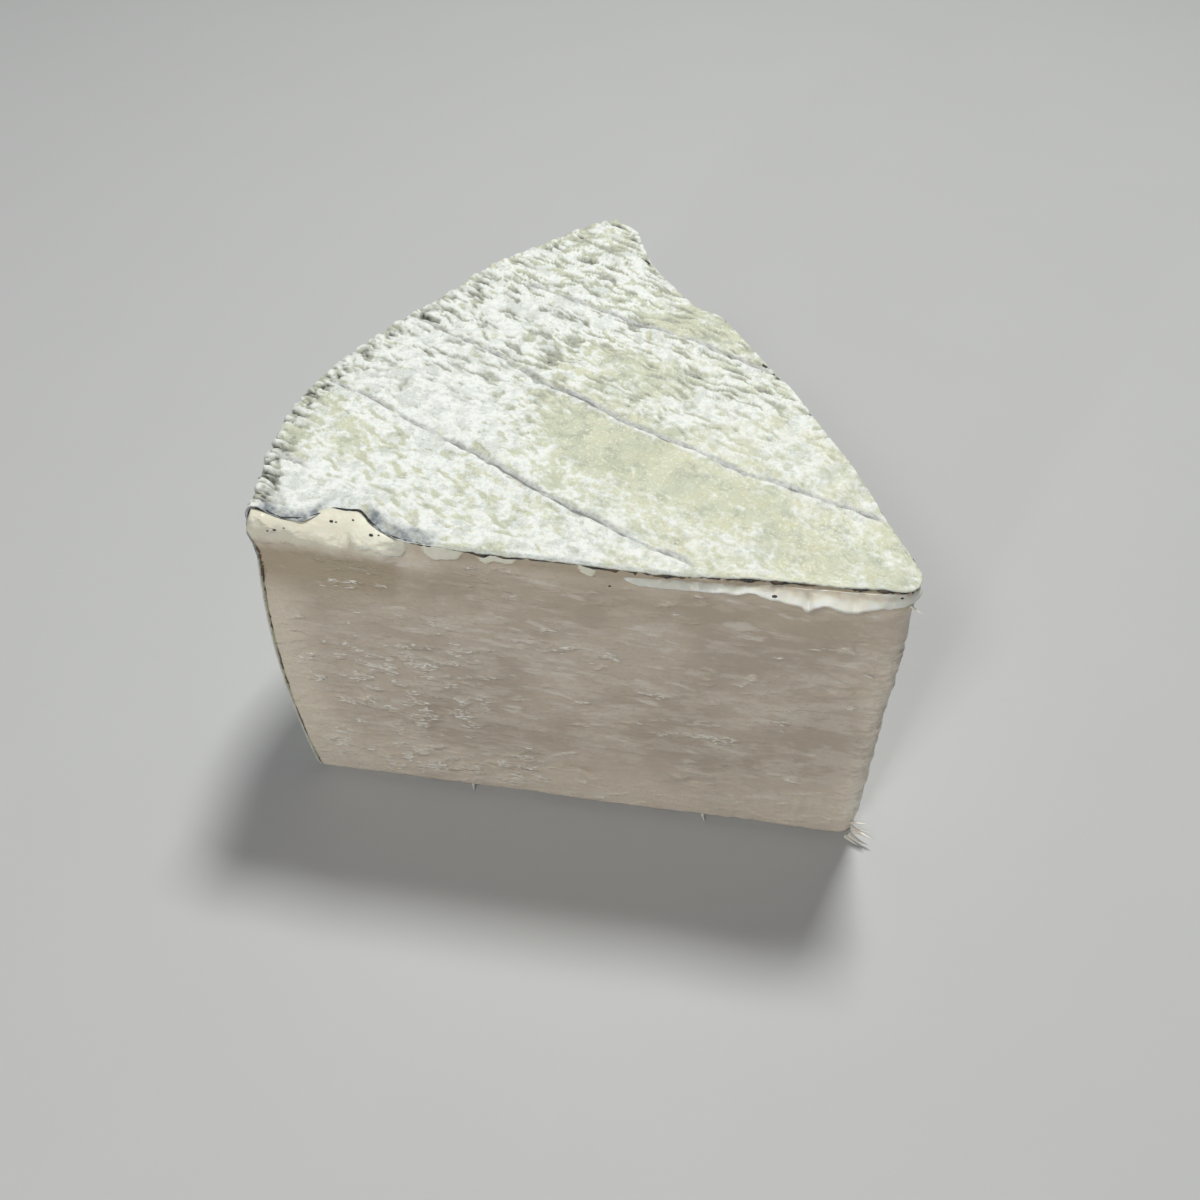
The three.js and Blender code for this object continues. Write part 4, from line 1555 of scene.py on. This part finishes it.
def speck(centre, out, size, key, wide=1.3, tall=0.8, thick=0.35, turn=0.0):
    """A small flattened crumb, half sunk in the surface."""
    level = np.cross(out, (0.0, 0.0, 1.0))
    level /= np.linalg.norm(level)
    steep = np.cross(level, out)
    side = math.cos(turn) * level + math.sin(turn) * steep
    up = np.cross(side, out)
    points = [centre + out * thick * size]
    for k in range(1, SPECK_RINGS):
        tilt = np.pi * k / SPECK_RINGS
        angle = np.linspace(0, 2 * np.pi, SPECK_SIDES, endpoint=False)[:, None]
        ring = np.sin(tilt) * (wide * np.cos(angle) * side + tall * np.sin(angle) * up)
        points.extend(centre + size * (ring + thick * np.cos(tilt) * out))
    points.append(centre - out * thick * size)
    points = np.array(points)
    points += out * (0.25 * size * field(points, size, key, 2))[:, None]
    points += side * (0.5 * size * field(points, 1.2 * size, key + 1, 2))[:, None]
    last = len(points) - 1
    faces = []
    for k in range(SPECK_RINGS - 2):
        faces += loop_faces(1 + k * SPECK_SIDES, 1 + (k + 1) * SPECK_SIDES, SPECK_SIDES)
    base = 1 + (SPECK_RINGS - 2) * SPECK_SIDES
    for i in range(SPECK_SIDES):
        j = (i + 1) % SPECK_SIDES
        faces.append([0, 1 + j, 1 + i])
        faces.append([last, base + i, base + j])
    return points, faces


# Specks on the cut: x, height as seen from in front and above, and size
SPECKS = (
    (-51.8, 64.6, 0.20), (-92.2, 69.9, 0.30), (-91.0, 70.3, 0.16),
    (-96.1, 73.0, 0.20), (-99.8, 71.8, 0.28), (-98.9, 72.4, 0.16),
    (-109.0, 68.8, 0.24), (-110.2, 68.2, 0.18), (-107.6, 69.3, 0.14),
)
# Specks on the smear of cream: x, share of the way down it, and size
LIP_SPECKS = ((-4.8, 0.35, 0.24), (-25.0, 0.65, 0.32))
LIP_OUT = np.array([0.0, -0.8, 0.6])
# Where the front cut's plane lies: points behind it look higher from above
CUT_PLANE = -1.2
front_columns = slice(FAR_STATIONS + RIM_STATIONS, stations - APEX_STATIONS)
front_points = paste_grid[:, front_columns].reshape(-1, 3)
front_normals = paste_normal[:, front_columns].reshape(-1, 3)
seen_height = front_points[:, 2] + np.maximum(front_points[:, 1] - CUT_PLANE, 0)
speck_parts = []
for key, (x, height, size) in enumerate(SPECKS):
    nearest = np.argmin((front_points[:, 0] - x) ** 2 + (seen_height - height) ** 2)
    outward_here = front_normals[nearest]
    centre = front_points[nearest] + outward_here * SPECK_PROUD
    speck_parts.append(speck(centre, outward_here, size, SPECK_KEY + 2 * key))
lip_grid = lip_points.reshape(-1, LIP_POINTS, 3)
for key, (x, part, size) in enumerate(LIP_SPECKS):
    row = np.argmin(np.abs(lip_grid[:, 0, 0] - x))
    column = int(np.arccos(1 - 2 * part) / np.pi * (LIP_POINTS // 2 - 1))
    place = lip_grid[row, column]
    speck_parts.append(speck(place, LIP_OUT, size, LIP_SPECK_KEY + 2 * key))
speck_points, speck_faces = gather(speck_parts)
make_piece("ash_specks", speck_points, speck_faces, bpy.data.materials["ash_line"])

# Torn flakes of curd that catch the light, thickest where the cut is rough; their pale colour is
# painted highlight for glints
FLAKES = 560
FLAKE_SIZE = (0.09, 0.21)
FLAKE_WIDTH = (2.2, 5.4)
FLAKE_THICKNESS = 0.55
FLAKE_TALL = 0.75
FLAKE_GLOSS = 0.45
FLAKE_SPREAD = math.radians(11)
FLAKE_LOWEST = 3
FLAKE_HIGHEST = 60
picker = np.random.default_rng(SEED + 1)
roughness_here = np.clip(paste_masks["gloss"][:, front_columns].ravel() - FLAKE_GLOSS, 0, 1)
front_height = front_points[:, 2]
roughness_here *= (front_height > FLAKE_LOWEST) & (front_height < FLAKE_HIGHEST)
chosen = picker.choice(len(front_points), FLAKES, False, roughness_here / roughness_here.sum())
flake_sizes = picker.uniform(*FLAKE_SIZE, FLAKES)
flake_widths = picker.uniform(*FLAKE_WIDTH, FLAKES)
flake_turns = picker.normal(0.0, FLAKE_SPREAD, FLAKES)
flake_parts = [
    speck(front_points[one], front_normals[one], size, FLAKE_KEY + 2 * key, wide,
          FLAKE_TALL, FLAKE_THICKNESS, turn)
    for key, (one, size, wide, turn) in enumerate(
        zip(chosen, flake_sizes, flake_widths, flake_turns))
]
flake_points, flake_faces = gather(flake_parts)
make_piece("curd_flakes", flake_points, flake_faces, flake_material())


# ---------------------------------------------------------------- floor, light and camera

FLOOR_COLOUR = (0.58, 0.59, 0.60)
FLOOR_ROUGHNESS = 0.7
FLOOR_MOTTLE = 0.97
FLOOR_REACH = 3.0
FLOOR_DROP = 0.0002

print("stage")


def plain_material(name, colour, roughness):
    """A matt sheet with a faint mottle."""
    surface = Surface(name)
    darker = tuple(FLOOR_MOTTLE * c for c in colour)
    shade = surface.blend(surface.noise(40.0, 2.0), colour, darker)
    return surface.finish(shade, roughness)


floor_mesh = bpy.data.meshes.new("floor")
corners = ((-1, -1), (1, -1), (1, 1), (-1, 1))
floor_mesh.from_pydata([(x * FLOOR_REACH, y * FLOOR_REACH, 0.0) for x, y in corners],
                       [], [(0, 1, 2, 3)])
floor = bpy.data.objects.new("floor", floor_mesh)
floor_mesh.materials.append(plain_material("floor_paper", FLOOR_COLOUR, FLOOR_ROUGHNESS))
bpy.context.scene.collection.objects.link(floor)
floor.location = (0, 0, -FLOOR_DROP)


def area_light(name, place, size, power, colour):
    """A square lamp that faces TARGET; places are in metres."""
    data = bpy.data.lights.new(name, "AREA")
    data.shape = "SQUARE"
    data.size = size
    data.energy = power
    data.color = colour
    light = bpy.data.objects.new(name, data)
    bpy.context.scene.collection.objects.link(light)
    place = Vector(place)
    light.location = place
    light.rotation_euler = (TARGET - place).to_track_quat("-Z", "Y").to_euler()


TARGET = Vector((0.0, 0.0, 0.035))
WARM = (1.0, 0.98, 0.95)
SKY_COLOUR = (0.93, 0.97, 1.0, 1.0)
SKY_STRENGTH = 0.09
area_light("key", (0.10, 0.32, 0.94), 0.18, 6.8, (1.0, 0.995, 0.955))
area_light("front", (-0.22, -0.62, 0.74), 0.16, 1.9, WARM)
area_light("low", (-0.30, -0.90, 0.30), 0.06, 1.1, WARM)

world = bpy.data.worlds.new("studio")
world.use_nodes = True
sky = world.node_tree.nodes["Background"]
sky.inputs["Color"].default_value = SKY_COLOUR
sky.inputs["Strength"].default_value = SKY_STRENGTH
bpy.context.scene.world = world
bpy.context.scene.view_settings.view_transform = "Standard"

LENS = 39.0
SENSOR = 36.0
CAMERA_PLACE = (-33.5, -151.0, 217.6)
CAMERA_AIM = math.radians(-7.6)
CAMERA_DIP = math.radians(46.0)
CAMERA_ROLL = math.radians(1.3)

lens = bpy.data.cameras.new("camera")
lens.lens = LENS
lens.sensor_width = SENSOR
camera = bpy.data.objects.new("camera", lens)
bpy.context.scene.collection.objects.link(camera)
forward = Vector((math.sin(CAMERA_AIM) * math.cos(CAMERA_DIP),
                  math.cos(CAMERA_AIM) * math.cos(CAMERA_DIP), -math.sin(CAMERA_DIP)))
position = Vector((np.array(CAMERA_PLACE) + SHIFT) * MM)
camera.matrix_world = (Matrix.Translation(position)
                       @ forward.to_track_quat("-Z", "Y").to_matrix().to_4x4()
                       @ Matrix.Rotation(CAMERA_ROLL, 4, "Z"))
bpy.context.scene.camera = camera

bpy.context.view_layer.update()
